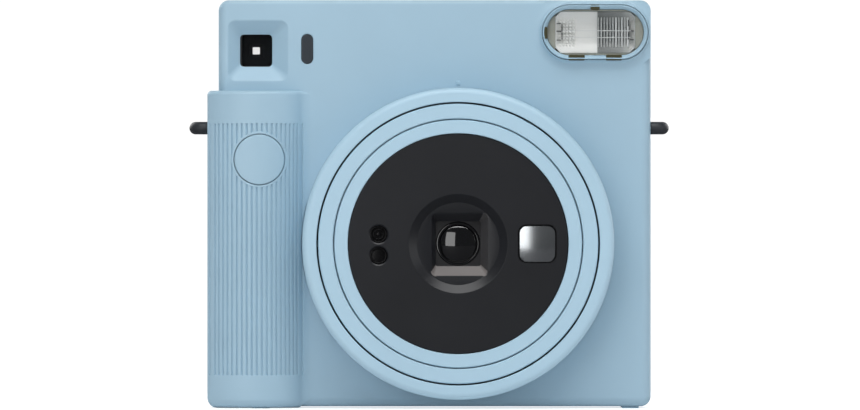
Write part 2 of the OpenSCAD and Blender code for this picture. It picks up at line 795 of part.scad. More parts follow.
module upper_sensor_window() {
    color(glass_colour) sensor_window(sensor_upper_z, 0.5);
}

module lower_sensor_window() {
    color(black) sensor_window(sensor_lower_z, 0.2);
}

module lens_cell() {
    y0 = panel_y + panel_t + 0.1;
    color(black) turned(lens_x, lens_z) polygon([
        [lens_r + 0.05, y0], [cell_r, y0], [cell_r, plate_y - 1.2], [cell_r + 2, plate_y - 1.2],
        [cell_r + 2, plate_y], [lens_r - 0.8, plate_y], [lens_r - 0.8, y0 + 3.4],
        [lens_r + 0.05, y0 + 3.4]
    ]);
}

// Radius of a dome that rises by the given amount over a disc of the given radius
function dome_radius(r, rise) = (r * r + rise * rise) / (2 * rise);

module front_lens() {
    y0 = panel_y + panel_t + 0.1;
    rise = 1.9;
    dome = dome_radius(lens_r, rise);
    color(glass_colour) turned(lens_x, lens_z) polygon(concat(
        arc(0, y0 - 0.6 + dome, dome, -90, -90 + asin(lens_r / dome), arc_steps),
        [[lens_r, y0 - 0.6 + rise + 1.2], [0, y0 - 0.6 + rise + 1.2]]
    ));
}

module rear_lens() {
    r = lens_r - 0.85;
    y1 = plate_y - 0.2;
    rise = 1.2;
    dome = dome_radius(r, rise);
    color(glass_colour) turned(lens_x, lens_z) polygon(concat(
        [[0, y1 - rise - 1], [r, y1 - rise - 1]],
        arc(0, y1 - dome, dome, 90 - asin(r / dome), 90, arc_steps)
    ));
}

module shutter_plate() {
    color(black) difference() {
        union() {
            ring_y(lens_x, lens_z, plate_r, aperture_r, plate_y, plate_y + plate_t);
            rod_y(lens_x + blade_pivot_x, lens_z, blade_pin_r, plate_y + plate_t - eps,
                blade_y + 1.6);
        }
        rod_y(lens_x - 22, lens_z + 12, 2, plate_y - 1, plate_y + plate_t + 1);
    }
}

module shutter_blade() {
    color(dark_grey) difference() {
        slab(blade_y, blade_y + blade_t) union() {
            translate([lens_x, lens_z]) circle(r = blade_reach_r);
            translate([lens_x, lens_z - 2]) square([blade_pivot_x, 4]);
            translate([lens_x + blade_pivot_x, lens_z]) circle(r = 3 * blade_pin_r);
        }
        rod_y(lens_x + blade_pivot_x, lens_z, blade_pin_r + run, blade_y - 1, blade_y + 2);
    }
}

module shutter_solenoid() {
    coil_y = plate_y + plate_t + 5;
    coil_z = lens_z + 18;
    color(copper) difference() {
        union() {
            rod_x(coil_y, coil_z, 3.4, lens_x + 4, lens_x + 14);
            box(lens_x + 3, lens_x + 15, plate_y + plate_t, coil_y - 2.8, coil_z - 2, coil_z + 2);
        }
        rod_x(coil_y, coil_z, 0.9, lens_x + 3.9, lens_x + 14.1);
    }
}

// Flash

module flash_bezel() {
    color(shell_colour) difference() {
        slab(y_face - flash_out, y_face + wall)
            stadium(flash_x, flash_z, flash_w - 0.1, flash_h - 0.1);
        slab(y_face - flash_out - 1, y_face + wall + 1)
            stadium(flash_x, flash_z, flash_inner_w, flash_inner_h);
    }
}

module flash_window() {
    color(glass_colour) slab(flash_window_y, flash_window_y + window_t)
        stadium(flash_x, flash_z, flash_inner_w - 0.1, flash_inner_h - 0.1);
}

module flash_reflector() {
    y0 = flash_window_y + window_t + 0.1;
    color(white) difference() {
        intersection() {
            funnel(flash_x, flash_z, reflector_w, reflector_h, y0,
                reflector_w - 2, 5, y0 + reflector_d);
            slab(y0 - 1, y0 + reflector_d + 1)
                stadium(flash_x, flash_z, flash_inner_w - 0.2, flash_inner_h - 0.2);
        }
        funnel(flash_x, flash_z, reflector_w - 1.6, reflector_h - 1.6, y0 - 0.02,
            reflector_w - 3.6, 3.4, y0 + reflector_d - 0.8);
        rod_x(y0 + reflector_d - 2.6, flash_z, tube_r + 0.02, flash_x - 20, flash_x + 20);
    }
}

module flash_tube() {
    y = flash_window_y + window_t + 0.1 + reflector_d - 2.6;
    color(glass_colour) rod_x(y, flash_z, tube_r, flash_x - reflector_w / 2 - 1.5,
        flash_x + reflector_w / 2 + 1.5);
}

module flash_capacitor() {
    can_r = 4.6;
    can_x = x_right - wall - can_r - 0.6;
    can_top = z_low + 54;
    color(black) union() {
        rod_z(can_x, y_face + 14, can_r, z_low + 20, can_top);
        rod_z(can_x, y_face + 14, can_r - 0.6, can_top - eps, can_top + 0.6);
    }
}

// Finder and windows

module finder_tunnel() {
    color(black) difference() {
        slab(tunnel_y0, y_rear - 0.4) soft_rect(finder_x, finder_z, tunnel_w, tunnel_w, 1.4);
        slab(tunnel_y0 - 1, y_rear + 1)
            soft_rect(finder_x, finder_z, tunnel_w - 2 * tunnel_wall, tunnel_w - 2 * tunnel_wall, 0.8);
    }
}

module finder_front_lens() {
    color(glass_colour) slab(tunnel_y0 + 0.6, tunnel_y0 + 2.2)
        soft_rect(finder_x, finder_z, tunnel_w - 2 * tunnel_wall - 0.04,
            tunnel_w - 2 * tunnel_wall - 0.04, 0.8);
}

module finder_eyepiece() {
    color(glass_colour) slab(tunnel_y1 - 1.6, tunnel_y1)
        soft_rect(finder_x, finder_z, tunnel_w - 2 * tunnel_wall - 0.04,
            tunnel_w - 2 * tunnel_wall - 0.04, 0.8);
}

module light_window() {
    color(dark_grey) slab(y_face + 0.2, y_face + pill_depth)
        pill(pill_x, pill_z, pill_w - 0.1, pill_h - 0.1);
}

// Release and electronics

module shutter_button() {
    flange_y = button_y + button_len - 1.2;
    flange_back = flange_y + 1;
    color(shell_colour) intersection() {
        turned(button_x, button_z) polygon([
            [0, button_y], [button_d / 2, button_y], [button_d / 2, flange_y],
            [button_d / 2 + button_flange, flange_y],
            [button_d / 2 + button_flange, flange_back], [1.5, flange_back],
            [1.5, button_y + button_len], [0, button_y + button_len]
        ]);
        grip_round(button_proud);
    }
}

module release_switch() {
    color(steel) union() {
        rod_y(button_x, button_z, 1.5, switch_y, switch_y + 0.8 + eps);
        box(button_x - 3, button_x + 3, switch_y + 0.8, y_face + wall + eps,
            button_z - 3, button_z + 3);
        box(x_left + wall + 0.2, grip_right - 0.6, y_face + wall, y_face + wall + 1.6,
            button_z - 5, button_z + 5);
    }
}

module main_board() {
    x1 = x_right - wall - 0.6;
    x0 = lens_x + guide_out_r + 4.2;
    color(board_green) union() {
        box(x0, x1, y_face + wall + 2, y_face + wall + 3.6, z_low + 8, flash_z - 12);
        for (i = [0:5]) box(x0 + 1, x1 - 1.5, y_face + wall + 3.6 - eps, y_face + wall + 5,
            z_low + 58 + 5 * i, z_low + 61 + 5 * i);
    }
}

module battery_box() {
    color(black) difference() {
        union() {
            for (y = [battery_front_y, battery_rear_y])
                rod_z(battery_x, y, battery_r + box_wall, battery_z - 1.2,
                    battery_z + battery_l + 1.2);
            box(battery_x, battery_x + battery_r + box_wall, battery_front_y, battery_rear_y,
                battery_z - 1.2, battery_z + battery_l + 1.2);
        }
        for (y = [battery_front_y, battery_rear_y]) {
            rod_z(battery_x, y, battery_r + 0.2, battery_z - 0.2, battery_z + battery_l + 0.2);
            box(battery_x - 20, battery_x, y - battery_r - 0.2, y + battery_r + 0.2,
                battery_z - 0.2, battery_z + battery_l + 0.2);
        }
        box(battery_x - 20, x_left + 0.2, battery_front_y - 20, battery_rear_y + 20,
            battery_z - 3, battery_z + battery_l + 3);
    }
}

module battery(y) {
    union() {
        rod_z(battery_x, y, battery_r, battery_z + 0.1, battery_z + battery_l - 1.2);
        rod_z(battery_x, y, 3, battery_z + battery_l - 1.2 - eps, battery_z + battery_l - 0.4);
    }
}

module front_battery() {
    color(battery_gold) battery(battery_front_y);
}

module rear_battery() {
    color(battery_gold) battery(battery_rear_y);
}

module battery_contacts() {
    color(steel) for (y = [battery_front_y, battery_rear_y]) {
        rod_z(battery_x, y, 2.4, battery_z + battery_l - 0.4, battery_z + battery_l + 0.2);
        rod_z(battery_x, y, 3.4, battery_z - 0.2, battery_z + 0.1);
    }
}

module battery_door() {
    side_gap = 0.2;
    color(shell_colour) union() {
        box(x_grip, x_grip + bat_door_t, bat_door_y0 + side_gap, bat_hinge_y,
            bat_door_z0 + side_gap, bat_door_z1 - side_gap);
        rod_z(bat_hinge_x, bat_hinge_y, bat_hinge_r, bat_door_z0 + side_gap,
            bat_door_z1 - side_gap);
        rod_z(bat_hinge_x, bat_hinge_y, bat_hinge_pin_r, bat_door_z0 - 1.5, bat_door_z1 + 1.5);
    }
}

// Film side

module film_chamber() {
    aperture_w = picture_w + 2;
    slot_h = 2.6;
    // Fixed axle of the idler gear
    color(black) rod_x(idler_y, idler_z, idler_axle_r, gear_x - gear_t - 0.8, chamber_x0 + eps);
    color(black) difference() {
        box(chamber_x0, chamber_x1, chamber_y0, chamber_y1, chamber_z0, chamber_z1);
        box(chamber_x0 + chamber_wall, chamber_x1 - chamber_wall, chamber_y0 + chamber_front_t,
            chamber_y1 + 1, chamber_z0 + chamber_wall, chamber_z1 - chamber_wall);
        box(lens_x - aperture_w / 2, lens_x + aperture_w / 2, chamber_y0 - 1,
            chamber_y0 + chamber_front_t + 1, lens_z - aperture_w / 2, lens_z + aperture_w / 2);
        box(lens_x - slot_w / 2, lens_x + slot_w / 2, film_y - slot_h / 2, film_y + slot_h / 2,
            chamber_z1 - chamber_wall - 1, chamber_z1 + 1);
        box(pick_x0 - 0.4, pick_x0 + 2.4, chamber_y0 - 1, chamber_y0 + chamber_front_t + 1,
            pick_z0, pick_z0 + 6 + pick_travel + 1);
        for (x = bottom_screws) rod_z(x, y_rear - 7, screw_r, chamber_z0 - 1, chamber_z0 + 0.5);
    }
}

module film_pick() {
    color(steel) union() {
        box(pick_x0, pick_x0 + 6, chamber_y0 - 1.3, chamber_y0 - 0.3, pick_z0 + 0.6, pick_z0 + 5.6);
        box(pick_x0, pick_x0 + 2, chamber_y0 - 1.3, chamber_y0 + chamber_front_t + 0.8,
            pick_z0 + 0.6, pick_z0 + 2);
    }
}

module film_door() {
    color(shell_colour) difference() {
        union() {
            slab(y_rear - wall, y_rear) translate([door_x0, door_z0])
                square([hinge_x - door_x0, door_z1 - door_z0]);
            for (z = knuckle_rows) rod_z(hinge_x, hinge_y, knuckle_r, z, z + knuckle_h);
            box(door_x0 + 1, door_x0 + 2.2, y_rear - wall - 0.6, y_rear - wall + eps,
                door_z0 + 4, door_z1 - 4);
        }
        for (span = cover_knuckles())
            rod_z(hinge_x, hinge_y, knuckle_r + gap, span[0] - gap / 2, span[1] + gap / 2);
        for (z = knuckle_rows) rod_z(hinge_x, hinge_y, hinge_pin_r + run, z - 1, z + knuckle_h + 1);
        slab(y_rear - wall - 1, y_rear + 1)
            soft_rect(door_window_x, lens_z, door_window_w, door_window_h, 2);
        box(latch_x - latch_w / 2 - 0.2, latch_x + latch_w / 2 + 0.2, y_rear - 1.3, y_rear + 1,
            latch_z - 0.2, latch_z + latch_h + latch_travel + 0.2);
        box(latch_x - 1.2, latch_x + 1.2, y_rear - wall - 1, y_rear,
            latch_z + 3, latch_z + latch_h - 3 + latch_travel);
    }
}

module door_hinge_pin() {
    color(steel) rod_z(hinge_x, hinge_y, hinge_pin_r, pin_z0, pin_z1);
}

module door_window() {
    color(black) slab(y_rear - wall + 0.2, y_rear - 0.3)
        soft_rect(door_window_x, lens_z, door_window_w - 0.1, door_window_h - 0.1, 1.95);
}

module pack_springs() {
    color(steel) for (side = [-1, 1]) translate([lens_x + side * 30, 0, 0]) union() {
        box(-3, 3, y_rear - wall - 0.4, y_rear - wall, lens_z - 22, lens_z + 22);
        box(-2.5, 2.5, y_rear - wall - 1.6, y_rear - wall - 1.2, lens_z - 12, lens_z + 12);
        for (end = [-1, 1]) box(-2.5, 2.5, y_rear - wall - 1.2 - eps, y_rear - wall - 0.4 + eps,
            lens_z + end * 12.5 - 0.6, lens_z + end * 12.5 + 0.6);
    }
}

module door_latch() {
    color(dark_grey) difference() {
        union() {
            box(latch_x - latch_w / 2, latch_x + latch_w / 2, y_rear - 1.2, y_rear - 0.1,
                latch_z, latch_z + latch_h);
            box(latch_x - 1, latch_x + 1, y_rear - wall - 0.6, y_rear - 1.2 + eps,
                latch_z + 3.2, latch_z + latch_h - 3.2);
        }
        for (i = [0:4]) box(latch_x - latch_w / 2 + 0.6, latch_x + latch_w / 2 - 0.6,
            y_rear - 0.5, y_rear, latch_z + 2.6 + i * 1.8, latch_z + 3.4 + i * 1.8);
    }
}

module counter_wheel() {
    color(white) difference() {
        union() {
            rod_y(counter_x, counter_z, counter_r, counter_y, counter_y + 1.2);
            rod_y(counter_x, counter_z, 2, counter_hub_y, counter_y + eps);
        }
        for (i = [0:9]) translate([counter_x, 0, counter_z]) rotate([0, i * 36, 0])
            box(-0.3, 0.3, counter_y + 0.9, counter_y + 2, counter_r - 1.4, counter_r + 1);
    }
}

module counter_window() {
    color(glass_colour) rod_y(counter_x, counter_z + 4, counter_hole_r - 0.02,
        y_rear - 1.6, y_rear - 0.4);
}

module roller_bracket(x0) {
    color(steel) difference() {
        box(x0, x0 + bracket_t, roller_y_front - 3.2, roller_y_rear + 3.2,
            chamber_z1, roller_z + 3.4);
        for (y = [roller_y_front, roller_y_rear])
            rod_x(y, roller_z, shaft_r + run, x0 - 1, x0 + bracket_t + 1);
    }
}

module left_roller_bracket() {
    roller_bracket(bracket_left_x);
}

module right_roller_bracket() {
    roller_bracket(bracket_right_x);
}

module roller(y) {
    union() {
        rod_x(y, roller_z, roller_r, roller_x0, roller_x1);
        rod_x(y, roller_z, shaft_r, gear_x - gear_t, bracket_right_x + bracket_t + 0.6);
    }
}

module front_roller() {
    color(steel) roller(roller_y_front);
}

module rear_roller() {
    color(steel) roller(roller_y_rear);
}

// Teeth of the front gear sit opposite the gaps of the rear gear
module front_roller_gear() {
    color(white) gear_x_axis(roller_y_front, roller_z, roller_teeth, 180 / roller_teeth,
        gear_x - gear_t, gear_x, shaft_r);
}

module rear_roller_gear() {
    color(white) gear_x_axis(roller_y_rear, roller_z, roller_teeth, 0,
        gear_x - gear_t, gear_x, shaft_r);
}

module idler_gear() {
    color(white) gear_x_axis(idler_y, idler_z, idler_teeth, idler_phase,
        gear_x - gear_t, gear_x, idler_axle_r + run);
}

module motor_pinion() {
    color(steel) union() {
        gear_x_axis(pinion_y, pinion_z, pinion_teeth, pinion_phase, gear_x - gear_t, gear_x, 0);
        rod_x(pinion_y, pinion_z, motor_shaft_r, motor_x1 - 1.5, gear_x - gear_t + eps);
    }
}

module drive_motor() {
    color(steel) difference() {
        union() {
            rod_x(pinion_y, pinion_z, motor_r, motor_x1 - motor_l, motor_x1);
            rod_x(pinion_y, pinion_z, 2.2, motor_x1 - motor_l - 1, motor_x1 - motor_l + eps);
        }
        rod_x(pinion_y, pinion_z, motor_shaft_r + run, motor_x1 - 2, motor_x1 + 1);
    }
}

module exit_flap() {
    color(shell_colour) union() {
        box(lens_x - slot_w / 2, lens_x + slot_w / 2, flap_y0 + 0.2, flap_y1,
            z_top - 0.2 - flap_t, z_top - 0.2);
        rod_x(flap_axis_y, flap_axis_z, flap_pin_r, lens_x - slot_w / 2 - 2.4,
            lens_x + slot_w / 2 + 2.4);
    }
}

front_cover();
rear_cover();
grip_cover();
feet();
left_strap_lug();
right_strap_lug();
case_screws();
barrel_guide();
lens_ring();
middle_barrel();
inner_barrel();
front_panel();
front_lens();
rear_lens();
lens_cell();
shutter_plate();
shutter_blade();
shutter_solenoid();
selfie_mirror();
upper_sensor_window();
lower_sensor_window();
flash_bezel();
flash_window();
flash_reflector();
flash_tube();
flash_capacitor();
finder_tunnel();
finder_front_lens();
finder_eyepiece();
light_window();
shutter_button();
release_switch();
main_board();
battery_box();
front_battery();
rear_battery();
battery_contacts();
battery_door();
film_chamber();
film_door();
door_hinge_pin();
door_window();
pack_springs();
door_latch();
counter_wheel();
counter_window();
film_pick();
left_roller_bracket();
right_roller_bracket();
front_roller();
rear_roller();
front_roller_gear();
rear_roller_gear();
idler_gear();
motor_pinion();
drive_motor();
exit_flap();
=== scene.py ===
# Instant camera for square film: looks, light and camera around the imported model.
import bpy
import bmesh
import json
from math import acos, asin, atan2, cos, hypot, pi, radians, sin, sqrt, tan
from mathutils import Matrix, Vector

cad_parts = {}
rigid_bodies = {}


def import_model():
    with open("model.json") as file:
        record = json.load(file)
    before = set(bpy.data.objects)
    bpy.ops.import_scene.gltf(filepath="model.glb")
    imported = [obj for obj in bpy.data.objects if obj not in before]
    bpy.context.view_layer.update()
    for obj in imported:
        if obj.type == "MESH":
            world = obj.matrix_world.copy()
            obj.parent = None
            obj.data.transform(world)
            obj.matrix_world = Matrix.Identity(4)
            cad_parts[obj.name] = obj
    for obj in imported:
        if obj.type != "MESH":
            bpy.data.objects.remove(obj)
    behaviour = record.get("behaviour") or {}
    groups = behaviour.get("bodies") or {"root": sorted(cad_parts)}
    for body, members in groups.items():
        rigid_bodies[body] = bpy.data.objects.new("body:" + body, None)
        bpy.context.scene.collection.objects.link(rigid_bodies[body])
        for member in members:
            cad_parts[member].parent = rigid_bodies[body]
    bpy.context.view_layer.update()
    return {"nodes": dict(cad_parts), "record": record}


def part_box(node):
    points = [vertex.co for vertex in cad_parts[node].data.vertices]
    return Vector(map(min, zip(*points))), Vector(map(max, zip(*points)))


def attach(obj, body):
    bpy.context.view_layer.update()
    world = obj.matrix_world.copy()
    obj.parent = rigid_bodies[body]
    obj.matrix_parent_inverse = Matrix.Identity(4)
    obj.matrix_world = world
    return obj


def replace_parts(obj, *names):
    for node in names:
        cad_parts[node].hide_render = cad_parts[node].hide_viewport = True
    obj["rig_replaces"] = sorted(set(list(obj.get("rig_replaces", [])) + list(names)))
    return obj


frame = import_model()
nodes = frame["nodes"]
bodyOf = {n: body for body, names in frame["record"]["behaviour"]["bodies"].items() for n in names}
slotOf = {p["node"]: p["material_slot"] for p in frame["record"]["subparts"]}
mm = 0.001
print("frame loaded:", len(nodes), "nodes")


# Places, in millimetres, all read from the frame
def nodeBox(name):
    low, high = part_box(name)
    return low / mm, high / mm


def nodeMiddle(name):
    low, high = nodeBox(name)
    return (low + high) / 2


ringGap = 0.25  # between the lens ring and the face behind it
ringLow, ringHigh = nodeBox("lens_ring")
lensX, lensZ = nodeMiddle("lens_ring").x, nodeMiddle("lens_ring").z
ringR = (ringHigh.x - ringLow.x) / 2
ringY = ringLow.y
faceY = ringHigh.y + ringGap
coverLow, coverHigh = nodeBox("front_cover")
x0, x1, z0, z1 = coverLow.x, coverHigh.x, coverLow.z, coverHigh.z
splitY = coverHigh.y
gripLow, gripHigh = nodeBox("grip_cover")
flashMid = nodeMiddle("flash_bezel")
finderMid = nodeMiddle("finder_tunnel")
pillMid = nodeMiddle("light_window")
buttonMid = nodeMiddle("shutter_button")
panelLow, panelHigh = nodeBox("front_panel")

# Camera and light
view = {"distance": 5.0, "span": 253.69, "aimX": 0.27, "aimZ": 60.0, "sensor": 36.0}
camData = bpy.data.cameras.new("mainCamera")
camData.sensor_width = view["sensor"]
camData.lens = view["sensor"] * (view["distance"] / mm + faceY) / view["span"]
camData.clip_end = 50
cam = bpy.data.objects.new("mainCamera", camData)
cam.location = (view["aimX"] * mm, -view["distance"], view["aimZ"] * mm)
cam.rotation_euler = (radians(90), 0, 0)
bpy.context.collection.objects.link(cam)
scene = bpy.context.scene
scene.camera = cam
scene.view_settings.view_transform = "Standard"

softBoxes = [
    # name, place, aim, size, watts
    ("keyBox", (-0.52, -1.28, 0.10), (0.0, 0.0, 0.05), (0.66, 1.6), 5.5),
    ("topBox", (0.0, -0.42, 0.82), (0.0, 0.0, 0.08), (0.9, 0.45), 5.2),
    ("rightFill", (1.45, -0.75, 0.35), (0.0, 0.0, 0.06), (0.8, 0.8), 2.4),
    ("backLeft", (-1.0, 1.4, 0.7), (0.0, 0.0, 0.06), (1.0, 1.0), 11.0),
    ("backRight", (1.1, 1.4, 0.5), (0.0, 0.0, 0.06), (1.0, 1.0), 9.0),
]
for name, place, aim, size, watts in softBoxes:
    lamp = bpy.data.lights.new(name, "AREA")
    lamp.shape = "RECTANGLE"
    lamp.size, lamp.size_y = size
    lamp.energy = watts
    box = bpy.data.objects.new(name, lamp)
    box.location = place
    box.rotation_euler = (Vector(aim) - Vector(place)).to_track_quat("-Z", "Y").to_euler()
    bpy.context.collection.objects.link(box)

# The world is white to the camera, dim in reflections and soft to everything else
sky = {"shown": ((1, 1, 1), 1.05), "soft": ((0.93, 0.96, 1), 0.28), "glossy": ((0.93, 0.96, 1), 0.07)}
world = bpy.data.worlds.new("studio")
scene.world = world
world.use_nodes = True
tree = world.node_tree
tree.nodes.clear()


def skyShade(name):
    colour, strength = sky[name]
    made = tree.nodes.new("ShaderNodeBackground")
    made.inputs["Color"].default_value = (*colour, 1)
    made.inputs["Strength"].default_value = strength
    return made.outputs[0]


def skyMix(choice, first, second):
    made = tree.nodes.new("ShaderNodeMixShader")
    for socket, source in zip(made.inputs, (choice, first, second)):
        tree.links.new(source, socket)
    return made.outputs[0]


rays = tree.nodes.new("ShaderNodeLightPath").outputs
unseen = skyMix(rays["Is Glossy Ray"], skyShade("soft"), skyShade("glossy"))
everything = skyMix(rays["Is Camera Ray"], unseen, skyShade("shown"))
tree.links.new(everything, tree.nodes.new("ShaderNodeOutputWorld").inputs[0])
print("camera and light ready")


# Materials
class Look:
    # A Principled material whose pattern nodes are added one by one
    def __init__(self, name, colour, roughness=0.5, metallic=0.0, alpha=1.0, **sockets):
        self.mat = bpy.data.materials.new(name)
        self.mat.use_nodes = True
        self.tree = self.mat.node_tree
        self.shader = self.tree.nodes["Principled BSDF"]
        self.colour = colour
        self.place = None
        self.bump = None
        self.set("Base Color", (*colour, 1))
        self.set("Roughness", roughness)
        self.set("Metallic", metallic)
        self.set("Alpha", alpha)
        for socket, value in sockets.items():
            self.set(socket.replace("_", " "), value)

    def set(self, socket, value):
        self.shader.inputs[socket].default_value = value

    def node(self, kind, **values):
        made = self.tree.nodes.new(kind)
        for key, value in values.items():
            if hasattr(made, key):
                setattr(made, key, value)
            else:
                made.inputs[key.replace("_", " ")].default_value = value
        return made

    def link(self, a, b):
        self.tree.links.new(a, b)

    def coords(self, scale=(1, 1, 1), turn=(0, 0, 0), shift=(0, 0, 0)):
        if self.place is None:
            self.place = self.node("ShaderNodeTexCoord")
        spot = self.node("ShaderNodeMapping", Scale=scale, Rotation=turn, Location=shift)
        self.link(self.place.outputs["Object"], spot.inputs["Vector"])
        return spot.outputs["Vector"]

    def noise(self, scale, detail=3.0, stretch=(1, 1, 1)):
        made = self.node("ShaderNodeTexNoise", Scale=scale, Detail=detail)
        self.link(self.coords(stretch), made.inputs["Vector"])
        return made.outputs["Fac"]

    def ramp(self, value, stops, constant=False):
        made = self.node("ShaderNodeValToRGB")
        if constant:
            made.color_ramp.interpolation = "CONSTANT"
        marks = made.color_ramp.elements
        while len(marks) < len(stops):
            marks.new(0.5)
        for mark, (spot, colour) in zip(marks, stops):
            mark.position = spot
            mark.color = (*colour, 1)
        self.link(value, made.inputs["Fac"])
        return made.outputs["Color"]

    # Slow colour drift over the surface
    def tint(self, spread, scale=35.0):
        low = [c * (1 - spread) for c in self.colour]
        high = [min(1, c * (1 + spread)) for c in self.colour]
        self.link(self.ramp(self.noise(scale), [(0.3, low), (0.7, high)]), self.shader.inputs["Base Color"])
        return self

    # Roughness that wanders between two values
    def polish(self, low, high, scale=60.0, stretch=(1, 1, 1)):
        span = self.node("ShaderNodeMapRange", To_Min=low, To_Max=high)
        self.link(self.noise(scale, 4.0, stretch), span.inputs["Value"])
        self.link(span.outputs["Result"], self.shader.inputs["Roughness"])
        return self

    # Fine relief; depth is in millimetres
    def relief(self, height, depth, strength=1.0):
        bump = self.node("ShaderNodeBump", Distance=depth * mm, Strength=strength)
        self.link(height, bump.inputs["Height"])
        if self.bump is not None:
            self.link(self.bump.outputs["Normal"], bump.inputs["Normal"])
        self.link(bump.outputs["Normal"], self.shader.inputs["Normal"])
        self.bump = bump
        return self

    def grain(self, scale, depth, stretch=(1, 1, 1), strength=0.5):
        return self.relief(self.noise(scale, 2.0, stretch), depth, strength)

    # Even ridges; the wave node runs through 20 times its scale in radians for each metre
    def waves(self, pitch, axis, depth):
        made = self.node("ShaderNodeTexWave", wave_type="BANDS", bands_direction=axis,
                         Scale=2 * pi / 20 / pitch / mm)
        self.link(self.coords(), made.inputs["Vector"])
        return self.relief(made.outputs["Fac"], depth)


def plastic(name, colour, low, high, grainSize=0.35, depth=0.02, spread=0.02, **sockets):
    look = Look(name, colour, (low + high) / 2, **sockets)
    return look.tint(spread).polish(low, high).grain(1 / grainSize / mm, depth)


shellBlue = (0.368, 0.536, 0.650)
ringBlue = (0.43, 0.62, 0.745)
looks = {
    "shell": plastic("satinBluePlastic", shellBlue, 0.40, 0.50, 0.28, 0.012),
    "ring": plastic("smoothBluePlastic", ringBlue, 0.36, 0.44, 0.22, 0.008, 0.015),
    "black_plastic": plastic("matteBlackPlastic", (0.012, 0.012, 0.014), 0.5, 0.62, 0.3, 0.02, 0.2),
    "panel": plastic("satinBlackPanel", (0.0115, 0.0125, 0.0158), 0.34, 0.42, 0.2, 0.006, 0.1),
    "grey_plastic": plastic("charcoalPlastic", (0.030, 0.034, 0.040), 0.42, 0.54, 0.3, 0.02, 0.12),
    "dark_window": plastic("smokedWindow", (0.045, 0.052, 0.060), 0.10, 0.16, 0.8, 0.004, 0.08),
    "white_plastic": plastic("naturalNylon", (0.74, 0.73, 0.69), 0.38, 0.5, 0.4, 0.02, 0.03),
    "reflector": plastic("flashWhite", (0.92, 0.93, 0.9), 0.3, 0.4, 0.5, 0.01, 0.03),
}
steel = Look("brushedSteel", (0.55, 0.55, 0.57), 0.3, 1.0)
steel.tint(0.06).polish(0.24, 0.38, 900, (1, 8, 8)).grain(2500, 0.01, (0.05, 1, 1))
looks["steel"] = steel
blade = Look("blackenedFoil", (0.018, 0.018, 0.02), 0.4, 0.6)
looks["blade"] = blade.tint(0.15).polish(0.35, 0.5).grain(3000, 0.005)
mirror = Look("silveredMirror", (0.66, 0.69, 0.71), 0.21, 1.0)
looks["mirror"] = mirror.polish(0.18, 0.24, 150).grain(90, 0.002)
glass = Look("clearPlastic", (0.05, 0.055, 0.06), 0.06, 0.0, 0.07, IOR=1.49)
looks["clear_glass"] = glass.polish(0.04, 0.09).grain(300, 0.001)
coil = Look("enamelledCopper", (0.50, 0.21, 0.075), 0.3, 0.9)
looks["copper_coil"] = coil.tint(0.1).polish(0.22, 0.36).waves(0.35, "X", 0.12)
board = Look("solderMask", (0.012, 0.13, 0.06), 0.3)
traces = board.node("ShaderNodeTexBrick", Scale=260.0, Mortar_Size=0.03, Color1=(0.010, 0.12, 0.055, 1),
                    Color2=(0.014, 0.15, 0.07, 1), Mortar=(0.05, 0.24, 0.11, 1))
board.link(board.coords(turn=(radians(90), 0, 0)), traces.inputs["Vector"])
board.link(traces.outputs["Color"], board.shader.inputs["Base Color"])
looks["board"] = board.polish(0.25, 0.4).relief(traces.outputs["Fac"], 0.05)


# Bands of colour up the height of a cell or can
def banded(name, stops, base, top, low, high):
    look = Look(name, stops[0][1], (low + high) / 2)
    height = look.node("ShaderNodeSeparateXYZ")
    look.link(look.coords(), height.inputs["Vector"])
    span = look.node("ShaderNodeMapRange", From_Min=base * mm, From_Max=top * mm)
    look.link(height.outputs["Z"], span.inputs["Value"])
    look.link(look.ramp(span.outputs["Result"], stops, True), look.shader.inputs["Base Color"])
    return look.polish(low, high).grain(2200, 0.006)


cellLow, cellHigh = nodeBox("front_battery")
canLow, canHigh = nodeBox("flash_capacitor")
looks["battery_wrap"] = banded("cellSleeve", [
    (0.0, (0.42, 0.42, 0.43)),
    (0.03, (0.03, 0.03, 0.035)),
    (0.66, (0.62, 0.40, 0.10)),
    (0.94, (0.55, 0.55, 0.56)),
], cellLow.z, cellHigh.z, 0.2, 0.3)
looks["capacitor"] = banded("canSleeve", [
    (0.0, (0.02, 0.02, 0.05)),
    (0.86, (0.05, 0.05, 0.09)),
    (0.965, (0.45, 0.45, 0.47)),
], canLow.z, canHigh.z, 0.22, 0.34)
lensGlass = Look("coatedLensGlass", (0.0008, 0.0008, 0.0015), 0.05, 0.0, 1.0, IOR=1.9, Coat_Weight=0.6)
lensGlass.polish(0.04, 0.07, 120).grain(60, 0.0005)
backPlateGrey = plastic("flashBackPlate", (0.42, 0.43, 0.37), 0.35, 0.5, 0.4, 0.01, 0.06)
# Near-black olive: painted shade of the snap-fit openings that the flash clips sit in
clipPaintedShade = plastic("flashClipOlive", (0.055, 0.052, 0.022), 0.3, 0.45, 0.4, 0.01, 0.1)
deepBlack = plastic("velvetBlack", (0.003, 0.003, 0.004), 0.8, 0.9, 0.3, 0.01, 0.2, Specular_IOR_Level=0.12)
prismWhite = plastic("flashPrismWhite", (0.8, 0.82, 0.81), 0.25, 0.35, 0.4, 0.01, 0.03)
# Painted light: two lighter copies of the black panel's look, for the lit slopes in the lens opening
paintedLightLowSlope = plastic("funnelLowSlope", (0.17, 0.155, 0.15), 0.3, 0.4, 0.15, 0.03, 0.1)
paintedLightSideSlope = plastic("funnelSideSlope", (0.045, 0.044, 0.046), 0.35, 0.45, 0.15, 0.03, 0.1)
sensorBlack = plastic("sensorBlack", (0.0018, 0.0018, 0.0024), 0.2, 0.28, 0.3, 0.004, 0.2,
                      Specular_IOR_Level=0.35)
rubber = plastic("rollerRubber", (0.035, 0.035, 0.038), 0.6, 0.75, 0.25, 0.03, 0.15)

